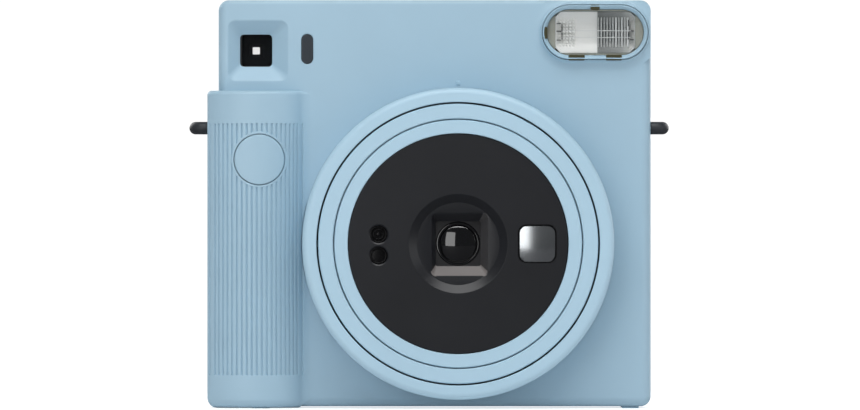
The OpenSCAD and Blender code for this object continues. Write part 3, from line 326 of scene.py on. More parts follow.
# The floor glows a little, more to the camera, and is dark in reflections, so it doesn't show in the lens
floorTone = {"pale": (0.8, 0.8, 0.81), "reflected": (0.06, 0.06, 0.065), "glow": 0.16, "shownGlow": 0.6}
stageLook = plastic("paleFloor", floorTone["pale"], 0.6, 0.75, 4.0, 0.02, 0.01, Emission_Color=(1, 1, 1, 1))
lift = stageLook.node("ShaderNodeLightPath")
glow = stageLook.node("ShaderNodeMapRange", To_Min=floorTone["glow"], To_Max=floorTone["shownGlow"])
quiet = stageLook.node("ShaderNodeMapRange", To_Min=1.0, To_Max=0.0)
level = stageLook.node("ShaderNodeMath", operation="MULTIPLY")
paint = stageLook.node("ShaderNodeMix", data_type="RGBA")
paint.inputs[6].default_value = (*floorTone["pale"], 1)
paint.inputs[7].default_value = (*floorTone["reflected"], 1)
stageLook.link(lift.outputs["Is Camera Ray"], glow.inputs["Value"])
stageLook.link(lift.outputs["Is Glossy Ray"], quiet.inputs["Value"])
stageLook.link(glow.outputs["Result"], level.inputs[0])
stageLook.link(quiet.outputs["Result"], level.inputs[1])
stageLook.link(level.outputs[0], stageLook.shader.inputs["Emission Strength"])
stageLook.link(lift.outputs["Is Glossy Ray"], paint.inputs[0])
stageLook.link(paint.outputs[2], stageLook.shader.inputs["Base Color"])
print("materials ready:", len(looks), "slots")


# Closed outline whose corners (a, b, radius) are rounded by arcs
def rounded(points, steps=6):
    result = []
    for i, (a, b, *r) in enumerate(points):
        here = Vector((a, b))
        if not r or r[0] <= 0:
            result.append(here)
            continue
        back = (Vector(points[i - 1][:2]) - here).normalized()
        ahead = (Vector(points[(i + 1) % len(points)][:2]) - here).normalized()
        half = acos(max(-1, min(1, back.dot(ahead)))) / 2
        centre = here + (back + ahead).normalized() * r[0] / sin(half)
        start = here + back * r[0] / tan(half) - centre
        swing = start.angle_signed(here + ahead * r[0] / tan(half) - centre)
        result += [centre + Matrix.Rotation(-swing * k / steps, 2) @ start for k in range(steps + 1)]
    return result


def softRect(cx, cz, w, h, r, steps=6):
    x, z = w / 2, h / 2
    corners = [(cx - x, cz - z, r), (cx + x, cz - z, r), (cx + x, cz + z, r), (cx - x, cz + z, r)]
    return rounded(corners, steps)


# Stadium outline lying along X; upright when h is the larger
def stadium(cx, cz, w, h, steps=16):
    return softRect(cx, cz, w, h, min(w, h) / 2 - 0.001, steps)


# Stadium the size of a box seen from the front, grown by out all round
def stadiumRound(middle, low, high, out, steps=16):
    return stadium(middle.x, middle.z, high.x - low.x + 2 * out, high.z - low.z + 2 * out, steps)


def arc(cx, cy, r, a0, a1, steps):
    turns = [a0 + (a1 - a0) * k / steps for k in range(steps + 1)]
    return [Vector((cx + r * cos(a), cy + r * sin(a))) for a in turns]


def circle(cx, cz, r, steps=64):
    turns = [2 * pi * k / steps for k in range(steps)]
    return [Vector((cx + r * cos(a), cz + r * sin(a))) for a in turns]


# Each layer is a closed ring of 3-D points of one count; neighbours are joined by extruding
def loft(bm, layers):
    ring = [bm.verts.new(p) for p in layers[0]]
    edges = [bm.edges.new((ring[i], ring[(i + 1) % len(ring)])) for i in range(len(ring))]
    bmesh.ops.edgeloop_fill(bm, edges=edges)
    for layer in layers[1:]:
        grown = bmesh.ops.extrude_edge_only(bm, edges=edges)["geom"]
        fresh = {v for v in grown if isinstance(v, bmesh.types.BMVert)}
        step = {}
        for v in fresh:
            for e in v.link_edges:
                if e.other_vert(v) not in fresh:
                    step[e.other_vert(v)] = v
        ring = [step[v] for v in ring]
        for v, p in zip(ring, layer):
            v.co = p
        edges = [e for e in grown if isinstance(e, bmesh.types.BMEdge)]
        edges = [e for e in edges if e.verts[0] in fresh and e.verts[1] in fresh]
    bmesh.ops.edgeloop_fill(bm, edges=edges)
    bmesh.ops.recalc_face_normals(bm, faces=bm.faces)
    return bm


# An outline stood up facing the front, or laid flat at a height
def flat(outline, y):
    return [Vector((p.x, y, p.y)) for p in outline]


def laid(outline, z):
    return [Vector((p.x, p.y, z)) for p in outline]


def prism(outline, y0, y1):
    return loft(bmesh.new(), [flat(outline, y0), flat(outline, y1)])


def verticalRod(cx, cy, r, z0, z1, steps=32):
    outline = circle(cx, cy, r, steps)
    return loft(bmesh.new(), [laid(outline, z0), laid(outline, z1)])


# Prism whose front rim is rounded
def pillow(shape, y0, y1, r, steps=4):
    layers = []
    for k in range(steps + 1):
        a = pi / 2 * k / steps
        layers.append(flat(shape(-r * (1 - sin(a))), y0 + r * (1 - cos(a))))
    return loft(bmesh.new(), layers + [flat(shape(0), y1)])


def block(x0, x1, y0, y1, z0, z1):
    bm = bmesh.new()
    bmesh.ops.create_cube(bm, size=1)
    bmesh.ops.scale(bm, vec=(x1 - x0, y1 - y0, z1 - z0), verts=bm.verts)
    bmesh.ops.translate(bm, vec=((x0 + x1) / 2, (y0 + y1) / 2, (z0 + z1) / 2), verts=bm.verts)
    return bm


# Closed profile of (radius, Y) spun about a line along Y
def turned(profile, cx, cz, steps=128):
    bm = bmesh.new()
    ring = [bm.verts.new((cx + p[0], p[1], cz)) for p in profile]
    edges = [bm.edges.new((ring[i], ring[(i + 1) % len(ring)])) for i in range(len(ring))]
    edges = [e for e in edges if max(abs(v.co.x - cx) for v in e.verts) > 1e-6]
    bmesh.ops.spin(bm, geom=ring + edges, cent=(cx, 0, cz), axis=(0, 1, 0), angle=2 * pi,
                   steps=steps, use_merge=True)
    bmesh.ops.remove_doubles(bm, verts=bm.verts, dist=1e-4)
    bmesh.ops.delete(bm, geom=[e for e in bm.edges if not e.link_faces], context="EDGES")
    bmesh.ops.recalc_face_normals(bm, faces=bm.faces)
    return bm


def asObject(bm, name):
    mesh = bpy.data.meshes.new(name)
    bm.to_mesh(mesh)
    bm.free()
    made = bpy.data.objects.new(name, mesh)
    bpy.context.collection.objects.link(made)
    return made


# Booleans, applied at once
def carve(target, cutters, operation="DIFFERENCE"):
    made = [asObject(bm, "cutter") for bm in cutters]
    for cutter in made:
        cut = target.modifiers.new("cut", "BOOLEAN")
        cut.operation = operation
        cut.solver = "EXACT"
        cut.object = cutter
    shape = bpy.data.meshes.new_from_object(target.evaluated_get(bpy.context.evaluated_depsgraph_get()))
    target.modifiers.clear()
    clean = bmesh.new()
    clean.from_mesh(shape)
    bmesh.ops.remove_doubles(clean, verts=clean.verts, dist=0.002)
    bmesh.ops.dissolve_degenerate(clean, edges=clean.edges, dist=0.001)
    clean.to_mesh(shape)
    clean.free()
    target.data = shape
    for cutter in made:
        bpy.data.objects.remove(cutter)
    return target


# Adds loose parts to a piece
def joinInto(target, bm):
    bm.from_mesh(target.data)
    bm.to_mesh(target.data)
    bm.free()
    return target


# Takes the mesh out of a helper object and removes the object
def takeMesh(helper):
    bm = bmesh.new()
    bm.from_mesh(helper.data)
    bpy.data.objects.remove(helper)
    return bm


# One mesh from several
def gathered(shapes):
    whole = bmesh.new()
    for shape in shapes:
        helper = asObject(shape, "part")
        whole.from_mesh(helper.data)
        bpy.data.objects.remove(helper)
    return whole


# A ring: layers are joined and the last is joined to the first, with no caps
def hoop(layers):
    bm = loft(bmesh.new(), layers + [layers[0]])
    bmesh.ops.delete(bm, geom=[f for f in bm.faces if len(f.verts) > 4], context="FACES_ONLY")
    bmesh.ops.remove_doubles(bm, verts=bm.verts, dist=1e-4)
    bmesh.ops.recalc_face_normals(bm, faces=bm.faces)
    return bm


# Scales a piece to metres, shades it and hands it to the frame
def finishPiece(piece, node, look=None, bevel=0.0, sharp=32, extra=(), name=None):
    if isinstance(piece, bmesh.types.BMesh):
        piece = asObject(piece, name or node)
    piece.name = name or piece.name
    mesh = piece.data
    mesh.transform(Matrix.Scale(mm, 4))
    mesh.shade_smooth()
    mesh.set_sharp_from_angle(angle=radians(sharp))
    look = look or looks[slotOf[node]]
    mesh.materials.clear()
    mesh.materials.append(look.mat)
    if bevel:
        soft = piece.modifiers.new("softEdges", "BEVEL")
        soft.width = bevel * mm
        soft.segments = 2
        soft.limit_method = "ANGLE"
        soft.angle_limit = radians(sharp)
        soft.use_clamp_overlap = False
    even = piece.modifiers.new("evenNormals", "WEIGHTED_NORMAL")
    even.keep_sharp = True
    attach(piece, bodyOf[node])
    if extra is not None:
        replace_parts(piece, node, *extra)
    return piece


def camel(name):
    first, *rest = name.split("_")
    return first + "".join(w.capitalize() for w in rest)


# Front cover
cover = {"wall": 2.0, "corner": 3.0, "left": 2.6, "right": 2.9, "bottom": 2.8, "top": 1.3, "seam": 0.15,
         "steps": 8, "lensHole": 43.2, "gripHole": 24.6, "lugTall": 3.1, "markSize": 1.3, "markUp": 1.5}
wall = cover["wall"]


# Outline point, inward direction and edge radius round the body
def bodyOutline():
    r, n = cover["corner"], cover["steps"]
    sides = ["right", "top", "left", "bottom"]
    corners = [(x1 - r, z0 + r, -90), (x1 - r, z1 - r, 0), (x0 + r, z1 - r, 90), (x0 + r, z0 + r, 180)]
    result = []
    for i, (cx, cz, start) in enumerate(corners):
        before, after = cover[sides[i - 1]], cover[sides[i]]
        for k in range(n + 1):
            a = radians(start + 90 * k / n)
            spot = Vector((cx + r * cos(a), cz + r * sin(a)))
            result.append((spot, Vector((-cos(a), -sin(a))), before + (after - before) * k / n))
    return result


def shellLayers(y0, y1, front):
    outline = bodyOutline()
    layers = []
    for k in range(7):
        a = pi / 2 * k / 6
        layer = []
        for p, inward, r in outline:
            q = p + inward * r * (1 - sin(a))
            y = y0 + r * (1 - cos(a)) if front else y1 - r * (1 - cos(a))
            layer.append(Vector((q.x, y, q.y)))
        layers.append(layer)
    seam = cover["seam"]
    end, turn = (y1, -seam) if front else (y0, seam)
    layers.append([Vector((p.x, end + turn, p.y)) for p, inward, r in outline])
    layers.append([Vector((p.x + inward.x * seam, end, p.y + inward.y * seam)) for p, inward, r in outline])
    return layers


flashLow, flashHigh = nodeBox("flash_bezel")
flare = {"wide": 3.3, "near": 0.45, "high": 1.2, "foot": 4.0, "trim": 0.03}


# Raised ground of the flash, which flares out of the face
def flashBoss():
    wide, near, high = flare["wide"], flare["near"], flare["high"]
    steps = [(wide, flare["foot"])]
    for k in range(9):
        a = pi / 2 * k / 8
        steps.append((near + (wide - near) * (1 - sin(a)), -high * (1 - cos(a))))
    steps += [(near * 0.8, -high - 0.12), (near * 0.45, -high - 0.2), (-0.6, -high - 0.2)]
    rings = [flat(stadiumRound(flashMid, flashLow, flashHigh, out), faceY + y) for out, y in steps]
    return loft(bmesh.new(), rings)


trimmed = [p + inward * flare["trim"] for p, inward, r in bodyOutline()]
boss = carve(asObject(flashBoss(), "flashBoss"), [prism(trimmed, faceY - 6, faceY + 6)], "INTERSECT")
frontCover = asObject(loft(bmesh.new(), shellLayers(faceY, splitY, True)), "frontCover")
carve(frontCover, [takeMesh(boss)], "UNION")

finder = {"wide": 17.0, "inner": 9.5, "deep": 3.4, "corner": 1.9, "innerCorner": 1.2, "shift": -0.55,
          "lip": ((-0.4, 0.75), (0.0, 0.75), (0.06, 0.42), (0.2, 0.16), (0.42, -0.08)), "seat": 0.5}


def finderFunnel():
    rings = []
    for y, out in finder["lip"]:
        w = finder["wide"] + 2 * out
        rings.append(flat(softRect(finderMid.x, finderMid.z, w, w, finder["corner"] + out), faceY + y))
    w = finder["inner"]
    inner = softRect(finderMid.x + finder["shift"], finderMid.z, w, w, finder["innerCorner"])
    rings += [flat(inner, faceY + finder["deep"]), flat(inner, faceY + finder["deep"] + 1)]
    return loft(bmesh.new(), rings)


pillLow, pillHigh = nodeBox("light_window")
pill = {"steps": 8, "back": 0.1, "edge": 0.3,
        "recess": ((-0.4, 0.35), (0.0, 0.35), (0.12, 0.12), (0.35, 0.05), (wall + 1, 0.05))}


def pillShape(out):
    return stadiumRound(pillMid, pillLow, pillHigh, out, pill["steps"])


def pillRecess():
    return loft(bmesh.new(), [flat(pillShape(out), faceY + y) for y, out in pill["recess"]])


cellDoorLow, cellDoorHigh = nodeBox("battery_door")
lugLow, lugHigh = nodeBox("left_strap_lug")
lugMid = nodeMiddle("left_strap_lug")
lugHalf = (lugHigh.y - lugLow.y) / 2 + 0.1


# Slot that a strap lug passes through
def lugSlot(left, right):
    tall = cover["lugTall"]
    return block(left, right, lugMid.y - lugHalf, lugMid.y + lugHalf, lugMid.z - tall, lugMid.z + tall)


seatW = finder["wide"] + 2 * finder["seat"]
funnelSeat = prism(softRect(finderMid.x, finderMid.z, seatW, seatW, 2), faceY + 1, faceY + finder["deep"])
carve(frontCover, [block(x0 + wall, x1 - wall, faceY + wall, splitY + 1, z0 + wall, z1 - wall)])
carve(frontCover, [funnelSeat], "UNION")
carve(frontCover, [
    prism(circle(lensX, lensZ, cover["lensHole"], 128), faceY - 5, faceY + wall + 1),
    prism(stadiumRound(flashMid, flashLow, flashHigh, 0.1), faceY - 5, faceY + wall + 1),
    finderFunnel(), pillRecess(),
    block(x0 + wall, gripLow.x + cover["gripHole"], faceY - 1, faceY + wall + 1, z0 + 8, gripHigh.z - 6),
    block(x0 - 1, x0 + wall + 1, cellDoorLow.y - 3, cellDoorHigh.y + 3,
          cellDoorLow.z - 1, cellDoorHigh.z + 1),
    lugSlot(x0 - 1, x0 + wall + 1),
    lugSlot(x1 - wall - 1, x1 + 1),
])


# Small raised mark over the lens ring
def markShape(out):
    w = cover["markSize"] + 2 * out
    return softRect(lensX, lensZ + ringR + cover["markUp"], w, w, 0.3 + out * 0.5, 3)


joinInto(frontCover, pillow(markShape, faceY - 0.3, faceY + 1, 0.25))
finishPiece(frontCover, "front_cover", sharp=28)
print("front cover ready")

# Grip
grip = {"wide": 27.6, "radius": 17.5, "corner": 3.5, "blend": 4.2, "pitch": 1.5, "cornerRibs": 2,
        "ribHigh": 0.5, "band": 9.6, "topEdge": 1.2, "lowEdge": 2.8, "wall": 2.0, "hollow": (222, 312)}
button = {"radius": 7.4, "rim": 0.9, "play": 0.2, "proud": 0.15, "edge": 0.35, "skirt": 3.2, "flange": 8.3,
          "rings": (0.0, 1.5, 3.0, 4.5, 5.8, 6.6), "steps": 96}
cellDoor = {"gap": 0.2, "inset": 1.3, "pin": 0.66, "pinMore": 0.5}
gripCx = gripLow.x + grip["wide"] / 2
gripCy = gripLow.y + grip["radius"]
# One rib as (share of the pitch, share of the depth)
ribShape = [(0.0, 0.0), (0.14, 0.0), (0.38, 0.0), (0.5, 0.06), (0.58, 0.5), (0.65, 0.92), (0.73, 1.0),
            (0.81, 0.92), (0.88, 0.5), (0.95, 0.06)]


# Ribs along an arc; a positive depth goes outwards
def ribbed(cx, cy, r, start, step, count, depth):
    points = []
    for i in range(count):
        for share, deep in ribShape:
            a = start + (i + share) * step
            reach = r + deep * depth
            points.append(Vector((cx + reach * cos(a), cy + reach * sin(a))))
    return points


# Section of the grip seen from above; inset moves it inwards, ribs scales the depth of the grooves
def gripSection(inset, ribs):
    r, c, b = grip["radius"], grip["corner"], grip["blend"]
    deepest = ribs * grip["ribHigh"]
    cornerX = gripLow.x + c
    cornerY = gripCy - sqrt((r - c) ** 2 - (gripCx - cornerX) ** 2)
    left = atan2(cornerY - gripCy, cornerX - gripCx) + 2 * pi
    blendY = faceY - b
    blendX = gripCx + sqrt((r + b) ** 2 - (gripCy - blendY) ** 2)
    right = atan2(blendY - gripCy, blendX - gripCx) + 2 * pi
    step = grip["pitch"] / r
    count = int((right - left) / step)
    first = (left + right - count * step) / 2
    points = [Vector((x0, gripHigh.y - inset)), Vector((gripLow.x + inset, gripHigh.y - inset))]
    points += [Vector((gripLow.x + inset, cornerY + 6))]
    turn = (left - pi) / grip["cornerRibs"]
    points += ribbed(cornerX, cornerY, c - inset, pi, turn, grip["cornerRibs"], -deepest)
    points += ribbed(gripCx, gripCy, r - inset, first, step, count, -deepest)
    points += arc(gripCx, gripCy, r - inset, first + count * step, right, 2)[:-1]
    turn = -grip["pitch"] / b * 0.9
    points += ribbed(blendX, blendY, b + inset, right - pi, turn, 1, deepest * 0.8)
    points += arc(blendX, blendY, b + inset, right - pi + turn, pi - asin(b / (b + inset)), 8)
    points += [Vector((x0 + 3, faceY)), Vector((x0, faceY))]
    return points


# Heights with their inset and depth of ribs: rounded bottom, plain band, ribs, plain band, rounded top
def gripLayers():
    low, high, band = gripLow.z, gripHigh.z, grip["band"]
    lowR, topR = grip["lowEdge"], grip["topEdge"]
    turns = [pi / 2 * k / 4 for k in range(5)]
    steps = [(low + lowR * (1 - cos(a)), lowR * (1 - sin(a)), 0) for a in turns]
    steps += [(low + band, 0, 0), (low + band + 0.12, 0, 0.8), (low + band + 0.3, 0, 1)]
    steps += [(high - band - 0.3, 0, 1), (high - band - 0.12, 0, 0.8), (high - band, 0, 0)]
    turns = [pi / 2 * k / 6 for k in range(7)]
    steps += [(high - topR * (1 - sin(a)), topR * (1 - cos(a)), 0) for a in turns]
    return [laid(gripSection(inset, ribs), z) for z, inset, ribs in steps]


rimR = button["radius"] + button["rim"]
gripCover = asObject(loft(bmesh.new(), gripLayers()), "gripCover")
gripWall = grip["wall"]
hollow = arc(gripCx, gripCy, grip["radius"] - gripWall, *[radians(a) for a in grip["hollow"]], 24)
hollow += [Vector((x, faceY + 1)) for x in (gripLow.x + grip["wide"] - gripWall, gripLow.x + gripWall)]
pinX, pinY = gripLow.x + cellDoor["inset"], cellDoorHigh.y - cellDoor["inset"]
carve(gripCover, [
    loft(bmesh.new(), [laid(hollow, z) for z in (gripLow.z + gripWall, gripHigh.z - gripWall)]),
    prism(circle(buttonMid.x, buttonMid.z, rimR - 0.25, button["steps"]), gripLow.y - 2, faceY + 0.5),
    prism(circle(lensX, lensZ, ringR + 0.4, 128), ringY, faceY + 1),
    block(gripLow.x - 1, x0 + 1, cellDoorLow.y - cellDoor["gap"], cellDoorHigh.y + 0.6,
          cellDoorLow.z + cellDoor["inset"], cellDoorHigh.z - cellDoor["inset"]),
    verticalRod(pinX, pinY, cellDoor["pin"], cellDoorLow.z - cellDoor["pinMore"],
                cellDoorHigh.z + cellDoor["pinMore"]),
    lugSlot(gripLow.x - 1, x0 + 1),
])


# Drops a piece back so that it follows the round front of the grip
def followGrip(bm, reach=0.0):
    r = grip["radius"] + reach
    for v in bm.verts:
        v.co.y += r - sqrt(r * r - (v.co.x - gripCx) ** 2)
    return bm


def turnedAtButton(profile):
    return turned(profile, buttonMid.x, buttonMid.z, button["steps"])


buttonR = button["radius"]
holeR = buttonR + button["play"]
rimBack = gripLow.y + 3.0
rimShape = [(holeR, rimBack), (holeR, gripLow.y, 0.15), (rimR, gripLow.y, 0.25), (rimR, rimBack)]
joinInto(gripCover, followGrip(turnedAtButton(rounded(rimShape, 4))))
finishPiece(gripCover, "grip_cover", sharp=30)

front = gripLow.y - button["proud"]
back = nodeBox("shutter_button")[1].y
skirtY = back - button["skirt"]
edge = rounded([(6.8, front), (buttonR, front, button["edge"]), (buttonR, skirtY)], 4)[1:-1]
profile = [(r, front) for r in button["rings"]] + [tuple(p) for p in edge]
profile += [(buttonR, skirtY), (0.0, skirtY)]
cap = followGrip(turnedAtButton(profile), button["proud"])
flangeR = button["flange"]
stem = turnedAtButton([(0, skirtY - 0.2), (6.9, skirtY - 0.2), (flangeR, back - 1.2), (flangeR, back - 0.2),
                       (1.5, back - 0.2), (1.5, back), (0, back)])
finishPiece(joinInto(asObject(stem, "shutterButton"), cap), "shutter_button", sharp=35)
print("grip and button ready")

# Rear cover: shell with the door opening, hinge knuckles, windows and screw seats
rear = {"gap": 0.3, "knuckle": 3.0, "cut": 3.35, "pin": 1.0, "slit": 0.3, "eps": 0.01, "row": 16.0,
        "rowInset": 8.0, "flapY": 3.6, "window": 3.0}
screw = {"x": 5.0, "low": 5, "high": 28, "head": 2.0, "seat": 1.4, "boss": 2.6, "bossLong": 7.0, "hole": 0.92,
         "lowY": 7, "lowX": 30}
filmDoorLow, filmDoorHigh = nodeBox("film_door")
flapLow, flapHigh = nodeBox("exit_flap")
tunnelLow, tunnelHigh = nodeBox("finder_tunnel")
wheelMid = nodeMiddle("counter_wheel")
rearY = nodeBox("rear_cover")[1].y
innerY = rearY - wall
hingeX, hingeY = filmDoorHigh.x - rear["knuckle"], rearY - rear["knuckle"]
doorZ = (filmDoorLow.z - rear["gap"], filmDoorHigh.z + rear["gap"])
tunnelW = tunnelHigh.x - tunnelLow.x + 0.1
screws = [(x0 + screw["x"], z) for z in (z0 + screw["low"], z1 - screw["high"])]
lowScrews = [(lensX + x, rearY - screw["lowY"]) for x in (-screw["lowX"], screw["lowX"])]


# Ends of the knuckles that stay on the cover
def coverKnuckles():
    rows = (filmDoorLow.z + rear["rowInset"], filmDoorHigh.z - rear["rowInset"] - rear["row"])
    tall, slit = rear["row"], rear["slit"]
    return [(doorZ[0] - rear["eps"], rows[0] - slit), (rows[0] + tall + slit, rows[1] - slit),
            (rows[1] + tall + slit, doorZ[1] + rear["eps"])]


# Bevelled round window over the counter wheel
def counterHole():
    r = rear["window"]
    profile = [(0, innerY - 1), (r, innerY - 1), (r, rearY - 0.4), (r + 0.4, rearY), (r + 0.4, rearY + 1),
               (0, rearY + 1)]
    return turned(profile, wheelMid.x, wheelMid.z + 4, 48)


rearCover = asObject(loft(bmesh.new(), shellLayers(splitY, rearY, False)), "rearCover")
carve(rearCover, [block(x0 + wall, x1 - wall, splitY - 1, innerY, z0 + wall, z1 - wall)])
bossY = rearY - screw["bossLong"]
carve(rearCover, [prism(circle(x, z, screw["boss"], 32), bossY, innerY + 0.5) for x, z in screws], "UNION")
seatY = rearY - screw["seat"]
carve(rearCover, [
    block(filmDoorLow.x - rear["gap"], x1 - wall - 1, innerY - 1, rearY + 1, *doorZ),
    block(x1 - 2 * rear["knuckle"] - 1, x1 + 1, hingeY - rear["cut"], rearY + 1, *doorZ),
    block(x0 - 1, x0 + wall + 1, splitY - 1, cellDoorHigh.y - 1.1, cellDoorLow.z + 0.5, cellDoorHigh.z - 0.5),
    block(flapLow.x - 0.2, flapHigh.x + 0.2, flapLow.y - 0.5, flapLow.y + rear["flapY"],
          z1 - wall - 1, z1 + 1),
    prism(softRect(finderMid.x, finderMid.z, tunnelW, tunnelW, 1.5), innerY - 1, rearY + 1),
    counterHole(),
    *[prism(circle(x, z, screw["head"], 32), seatY, rearY + 1) for x, z in screws],
    *[prism(circle(x, z, screw["hole"], 24), bossY - 1, seatY + 0.1) for x, z in screws],
    *[verticalRod(x, y, screw["head"], z0 - 1, z0 + 1.1) for x, y in lowScrews],
    *[verticalRod(x, y, screw["hole"], z0 + 1, z0 + wall + 1) for x, y in lowScrews],
])
for low, high in coverKnuckles():
    knuckle = asObject(verticalRod(hingeX, hingeY, rear["knuckle"], low, high, 48), "knuckle")
    inner = hingeX + rear["knuckle"] - wall
    web = block(inner, x1 - 0.01, hingeY - rear["cut"] - rear["eps"], hingeY, low + 0.005, high - 0.005)
    carve(knuckle, [web], "UNION")
    carve(knuckle, [verticalRod(hingeX, hingeY, rear["pin"], low - 1, high + 1, 24)])
    joinInto(rearCover, takeMesh(knuckle))
finishPiece(rearCover, "rear_cover", sharp=28)
print("rear cover ready")

# Lens ring
ring = {"hole": 41.7, "edge": 1.8, "lipEdge": 0.35, "skirt": 43.16, "lip": 2.0}
ringShape = rounded([(ring["hole"], ringY + ring["lip"]), (ring["hole"], ringY, ring["lipEdge"]),
                     (ringR, ringY, ring["edge"]), (ringR, ringHigh.y, 0.25), (ring["skirt"], ringHigh.y),
                     (ring["skirt"], ringY + ring["lip"])], 8)
finishPiece(turned(ringShape, lensX, lensZ, 192), "lens_ring", name="lensRing")

# Front panel
panel = {"cone": (14.6, 12.15), "deep": 1.6, "square": ((16.4, 18.2), 13.2), "squareAt": (0.45, -0.25),
         "mirrorGap": 0.25, "sensorGap": 0.1, "sensorRim": 0.45, "slopeFrom": 6.6}
panelR = (panelHigh.x - panelLow.x) / 2
panelY, panelBack = panelLow.y, panelHigh.y
coneY = panelY + panel["deep"]
coneWide, coneNarrow = panel["cone"]
discShape = rounded([(0, coneY), (coneNarrow, coneY), (coneWide, panelY, 0.3), (panelR, panelY, 0.3),
                     (panelR, panelBack), (0, panelBack)], 4)
disc = asObject(turned(discShape, lensX, lensZ, 160), "frontPanel")
mirrorLow, mirrorHigh = nodeBox("selfie_mirror")
mirrorMid = nodeMiddle("selfie_mirror")
mirrorW = mirrorHigh.x - mirrorLow.x


# Square opening in the cone's floor that narrows to the lens
def squareFunnel():
    (wide, high), inner = panel["square"]
    dx, dz = panel["squareAt"]
    rings = []
    for depth, more, r in ((-0.3, 0.5, 1.5), (0.0, 0.5, 1.5), (0.06, 0.15, 1.4), (0.2, -0.1, 1.3)):
        rings.append(flat(softRect(lensX + dx, lensZ + dz, wide + more, high + more, r), coneY + depth))
    bottom = softRect(lensX, lensZ, inner, inner, 0.5)
    return loft(bmesh.new(), rings + [flat(bottom, panelBack), flat(bottom, panelBack + 0.5)])


seat = mirrorW + 2 * panel["mirrorGap"]
mirrorSeat = softRect(mirrorMid.x, mirrorMid.z, seat, seat, 2.5)
carve(disc, [squareFunnel(), prism(mirrorSeat, panelY - 1, panelY + 1.4)])
sensors = {}
for name in ("upper_sensor_window", "lower_sensor_window"):
    low, high = nodeBox(name)
    cx, cz, r, deep = (low.x + high.x) / 2, (low.z + high.z) / 2, (high.x - low.x) / 2, high.y
    sensors[name] = (cx, cz, r, deep)
    hole, lip = r + panel["sensorGap"], r + panel["sensorRim"]
    profile = [(0, panelY - 1), (lip, panelY - 1), (lip, panelY), (hole, panelY + 0.25), (hole, deep),
               (0, deep)]
    carve(disc, [turned(profile, cx, cz, 64)])
finishPiece(disc, "front_panel", sharp=26)

# The slopes under the lens and to its right get lighter colours than the black panel: painted light, standing
# in for the light these slopes catch and reflect
disc.data.materials.append(paintedLightLowSlope.mat)
disc.data.materials.append(paintedLightSideSlope.mat)
for face in disc.data.polygons:
    spot = face.center / mm
    dx, dz = spot.x - lensX, spot.z - lensZ
    if max(abs(dx), abs(dz)) < 9.6 and coneY + 0.02 < spot.y < panelBack - 0.05:
        if dz < -panel["slopeFrom"] and abs(dx) < 8.3:
            face.material_index = 1
        elif dx > panel["slopeFrom"]:
            face.material_index = 2

# Upper window: a small lens in stepped rings. Lower window: a flat dark filter with a rim.
y = panelY + 0.9
cx, cz, r, deep = sensors["upper_sensor_window"]
upperShape = rounded([(0, y - 0.35), (0.55, y - 0.3, 0.1), (0.75, y + 0.25), (1.15, y + 0.25),
                      (1.3, y - 0.15, 0.1), (1.6, y - 0.15, 0.1), (1.75, y + 0.35), (1.95, y + 0.35),
                      (2.1, y - 0.3, 0.1), (r, y - 0.3, 0.12), (r, deep), (0, deep)], 3)
finishPiece(turned(upperShape, cx, cz, 64), "upper_sensor_window", sensorBlack, sharp=40,
            name="upperSensorWindow")
cx, cz, r, deep = sensors["lower_sensor_window"]
lowerShape = rounded([(0, y + 0.1), (1.9, y + 0.25), (2.05, y - 0.2, 0.1), (r, y - 0.2, 0.12), (r, deep),
                      (0, deep)], 3)
finishPiece(turned(lowerShape, cx, cz, 64), "lower_sensor_window", sensorBlack, sharp=40,
            name="lowerSensorWindow")

# Main lens: one smooth dome inside a narrow stepped rim
lens = {"domeR": 12.0, "domeEdge": 5.5, "domeSteps": 14, "domeDrop": 0.05}
lensLow, lensHigh = nodeBox("front_lens")
lensR = (lensHigh.x - lensLow.x) / 2
top = lensLow.y


# How far a dome has fallen at a distance from its middle
def domeFall(r, far):
    return r - sqrt(r ** 2 - far ** 2)


reach = [lens["domeEdge"] * k / lens["domeSteps"] for k in range(lens["domeSteps"] + 1)]
dome = [(far, top + lens["domeDrop"] + domeFall(lens["domeR"], far)) for far in reach]
dome += [(5.6, top + 1.55), (5.75, top + 1.55), (5.85, top + 1.3), (6.2, top + 1.25), (lensR, top + 1.4)]
dome += [(lensR, lensHigh.y), (0, lensHigh.y)]
finishPiece(turned(dome, lensX, lensZ, 96), "front_lens", lensGlass, name="frontLens", sharp=50)

# Convex mirror
selfie = {"dome": 26.0, "corner": 2.3, "edge": 0.3, "cuts": 11}


def mirrorShape(out):
    w = mirrorW + 2 * out
    return softRect(mirrorMid.x, mirrorMid.z, w, w, selfie["corner"] + out, 8)


bm = pillow(mirrorShape, mirrorLow.y, mirrorHigh.y, selfie["edge"], 3)
for step in range(selfie["cuts"]):
    shift = (step - selfie["cuts"] // 2) * mirrorW / selfie["cuts"]
    for axis in ((1, 0, 0), (0, 0, 1)):
        bmesh.ops.bisect_plane(bm, geom=bm.verts[:] + bm.edges[:] + bm.faces[:], plane_no=axis,
                               plane_co=(mirrorMid.x + shift, 0, mirrorMid.z + shift))
for v in bm.verts:
    if v.co.y < mirrorHigh.y - 0.5:
        v.co.y += domeFall(selfie["dome"], hypot(v.co.x - mirrorMid.x, v.co.z - mirrorMid.z))
finishPiece(bm, "selfie_mirror", name="selfieMirror", sharp=50)
print("lens group ready")

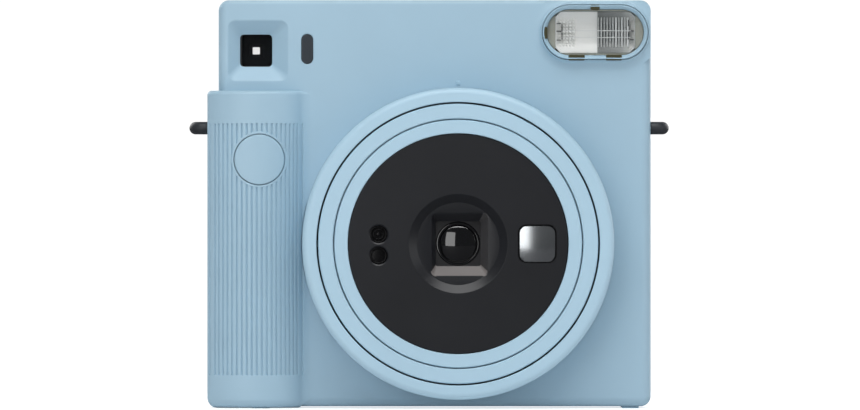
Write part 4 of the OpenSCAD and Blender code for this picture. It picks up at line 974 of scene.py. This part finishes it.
# Flash
flash = {"rim": 1.3, "reflectorW": 23.4, "reflectorH": 12.2, "windowEdge": 0.35, "tones": (
    (0.0, (0.9, 0.91, 0.88)), (0.515, (0.9, 0.91, 0.88)), (0.525, (0.2, 0.215, 0.21)),
    (0.74, (0.3, 0.32, 0.31)), (0.84, (0.55, 0.56, 0.54)), (1.0, (0.85, 0.86, 0.83)))}
winLow, winHigh = nodeBox("flash_window")
bezelY, bezelBack = flashLow.y, flashHigh.y
bezelIn = -flash["rim"]
bezelSteps = ((-0.1, bezelBack), (-0.1, bezelY + 0.4), (-0.18, bezelY + 0.15), (-0.36, bezelY),
              (-0.52, bezelY + 0.05), (bezelIn + 0.1, winLow.y - 0.15), (bezelIn, winLow.y + 0.05),
              (bezelIn, bezelBack))
bezelRings = [flat(stadiumRound(flashMid, flashLow, flashHigh, out), y) for out, y in bezelSteps]
finishPiece(hoop(bezelRings), "flash_bezel", name="flashBezel", sharp=40)


def windowShape(out):
    return stadiumRound(flashMid, winLow, winHigh, out)


finishPiece(pillow(windowShape, winLow.y, winHigh.y, flash["windowEdge"]), "flash_window", name="flashWindow")

# White box with chamfered corners and a trough for the tube, with rows of small studs on its left
rw, rh = flash["reflectorW"], flash["reflectorH"]
reflectorY = winHigh.y + 0.1


def chamfered(w, h, c):
    x, z = w / 2, h / 2
    corners = ((-x + c, -z), (x - c, -z), (x, -z + c), (x, z - c), (x - c, z), (-x + c, z), (-x, z - c),
               (-x, -z + c))
    return [Vector((flashMid.x + a, flashMid.z + b)) for a, b in corners]


def reflectorBox():
    # width, height, corner and depth of each ring
    rings = [(rw, rh, 1.5, 6.6), (rw, rh, 1.5, 0.0), (rw - 0.5, rh - 0.5, 1.4, 0.0),
             (rw - 1.0, rh - 3.0, 0.5, 0.5), (rw - 2.2, rh - 5.4, 0.4, 1.0), (rw - 3.2, 3.6, 0.3, 1.6)]
    return loft(bmesh.new(), [flat(chamfered(w, h, c), reflectorY + y) for w, h, c, y in rings])


studs = {"rows": 9, "columns": 5, "size": 0.72, "bevel": 0.14, "pitchX": 0.95, "pitchZ": 0.98, "inset": 1.5}
box = asObject(reflectorBox(), "flashReflector")
for row in range(studs["rows"]):
    for column in range(studs["columns"]):
        stud = bmesh.new()
        bmesh.ops.create_cube(stud, size=studs["size"])
        bmesh.ops.bevel(stud, geom=stud.edges[:], offset=studs["bevel"], segments=1, profile=0.5,
                        affect="EDGES", material=-1)
        x = flashMid.x - rw / 2 + studs["inset"] + column * studs["pitchX"]
        z = flashMid.z + (row - studs["rows"] // 2) * studs["pitchZ"]
        bmesh.ops.translate(stud, vec=(x, reflectorY + 1.0, z), verts=stud.verts)
        joinInto(box, stud)
finishPiece(box, "flash_reflector", name="flashReflector", sharp=25)

# The reflector's right half is darker
shade = looks["reflector"]
across = shade.node("ShaderNodeSeparateXYZ")
shade.link(shade.coords(), across.inputs["Vector"])
span = shade.node("ShaderNodeMapRange", From_Min=flashLow.x * mm, From_Max=flashHigh.x * mm)
shade.link(across.outputs["X"], span.inputs["Value"])
shade.link(shade.ramp(span.outputs["Result"], flash["tones"]), shade.shader.inputs["Base Color"])

# Prism ribs of the right half, with two thin bars across the whole window
prisms = {"first": 0.9, "pitch": 0.8736, "unit": 0.78, "deep": 0.9, "bevel": 0.2,
          "bars": ((0.35, 0.22), (-1.6, 0.16)),
          "shares": (0.2, 0.35, 0.2, 0.25, 0.2, 0.3, 0.55, 0.25, 0.5, 0.3, 0.6)}


def prismRib(x, wide):
    rib = bmesh.new()
    bmesh.ops.create_cube(rib, size=1)
    bmesh.ops.scale(rib, vec=(wide, prisms["deep"], rh - 3.4), verts=rib.verts)
    upright = [e for e in rib.edges if abs(e.verts[0].co.z - e.verts[1].co.z) > 1]
    bmesh.ops.bevel(rib, geom=upright, offset=prisms["bevel"], segments=3, profile=0.5,
                    affect="EDGES", material=-1)
    bmesh.ops.translate(rib, vec=(x, reflectorY + 0.65, flashMid.z), verts=rib.verts)
    return rib


shapes = [prismRib(flashMid.x + prisms["first"] + i * prisms["pitch"], share * prisms["unit"])
          for i, share in enumerate(prisms["shares"])]
for z, tall in prisms["bars"]:
    low = flashMid.z + z
    shapes.append(block(flashMid.x - rw / 2 + 2, flashMid.x + rw / 2 - 1.2,
                        reflectorY + 0.1, reflectorY + 0.2, low, low + tall))
finishPiece(gathered(shapes), "flash_reflector", prismWhite, name="flashPrisms", extra=None)

# Dark notches in the end walls: side, height, width and tallness
notches = ((-1, 0.3, 1.7, 0.3), (-1, 2.6, 1.3, 0.22), (-1, -2.3, 1.3, 0.22), (1, 0.4, 1.9, 0.35),
           (1, -2.2, 1.2, 0.22), (1, 2.7, 0.25, 1.9), (1, -1.0, 0.25, 2.2), (-1, 1.4, 0.22, 2.0),
           (-1, -1.1, 0.22, 2.0))
shapes = []
for side, z, w, h in notches:
    x = flashMid.x + side * (rw / 2 - 0.9 - (0.0 if w > h else 1.0))
    shapes.append(block(x - w / 2, x + w / 2, reflectorY + 0.12, reflectorY + 0.6, flashMid.z + z - h / 2,
                        flashMid.z + z + h / 2))
finishPiece(gathered(shapes), "flash_reflector", looks["grey_plastic"], name="flashNotches", extra=None)

# Plate behind the window's ends, and four spring clips: x, z, width and height. The clips' near-black colour
# is painted shade of the snap-fit openings they sit in
plateOuter = stadiumRound(flashMid, winLow, winHigh, -0.1, 8)
plateInner = softRect(flashMid.x, flashMid.z, rw + 0.2, rh + 0.2, 1.5, 8)
plateFront, plateBack = reflectorY + 0.05, reflectorY + 0.5
plate = hoop([flat(plateOuter, plateBack), flat(plateOuter, plateFront), flat(plateInner, plateFront),
              flat(plateInner, plateBack)])
finishPiece(plate, "flash_reflector", backPlateGrey, name="flashBackPlate", extra=None)
clips = ((-0.05, 7.35, 2.7, 1.6), (-14.75, -0.2, 1.3, 3.5), (-5.5, -7.5, 4.8, 1.7), (5.5, -7.5, 4.7, 1.7))


def springClip(x, z, w, h):
    def outline(out):
        return softRect(flashMid.x + x, flashMid.z + z, w + 2 * out, h + 2 * out, 0.3, 2)
    return pillow(outline, flashLow.y + 0.12, winHigh.y, 0.15, 2)


shapes = [springClip(*clip) for clip in clips]
finishPiece(gathered(shapes), "flash_reflector", clipPaintedShade, name="flashClips", extra=None)
print("flash ready")

# Finder and light window; each ring of the mask is (width, corner, depth, share of the finder's shift)
mask = {"back": 3.6, "rings": ((9.4, 0.7, 1.2, 0), (9.4, 0.7, 0.0, 0), (4.2, 0.3, 0.0, 1),
                               (2.1, 0.15, 0.9, 1), (2.1, 0.15, 1.2, 1))}
maskY = tunnelLow.y + mask["back"]
frameRings = [flat(softRect(finderMid.x + finder["shift"] * share, finderMid.z, w, w, r, 3), maskY + y)
              for w, r, y, share in mask["rings"]]
finishPiece(hoop(frameRings), "finder_tunnel", deepBlack, name="finderMask", extra=None, sharp=20)
finishPiece(pillow(pillShape, pillLow.y + pill["back"], pillHigh.y, pill["edge"]), "light_window",
            name="lightWindow")
print("finder ready")

# Every other node: its own mesh, merged, with softened edges
softEdge = {"film_door": 0.22, "battery_door": 0.25, "feet": 0.15, "door_latch": 0.15, "film_chamber": 0.15,
            "battery_box": 0.15, "left_roller_bracket": 0.12, "right_roller_bracket": 0.12, "film_pick": 0.1,
            "pack_springs": 0.06, "main_board": 0.1}
ownLook = {"front_roller": rubber, "rear_roller": rubber}
ownName = {"feet": "cameraFeet"}
made = set()
for piece in bpy.data.objects:
    made.update(piece.get("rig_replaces", []))
for node in sorted(set(nodes) - made):
    bm = bmesh.new()
    bm.from_mesh(nodes[node].data)
    bmesh.ops.scale(bm, vec=(1 / mm, 1 / mm, 1 / mm), verts=bm.verts)
    bmesh.ops.remove_doubles(bm, verts=bm.verts, dist=0.002)
    bmesh.ops.dissolve_limit(bm, angle_limit=radians(0.5), verts=bm.verts, edges=bm.edges)
    finishPiece(bm, node, ownLook.get(node), bevel=softEdge.get(node, 0.0), sharp=30,
                name=ownName.get(node, camel(node)))
print("other pieces ready")

# Stage
bm = bmesh.new()
bmesh.ops.create_grid(bm, x_segments=1, y_segments=1, size=0.42)
floor = asObject(bm, "studioFloor")
floor.data.materials.append(stageLook.mat)
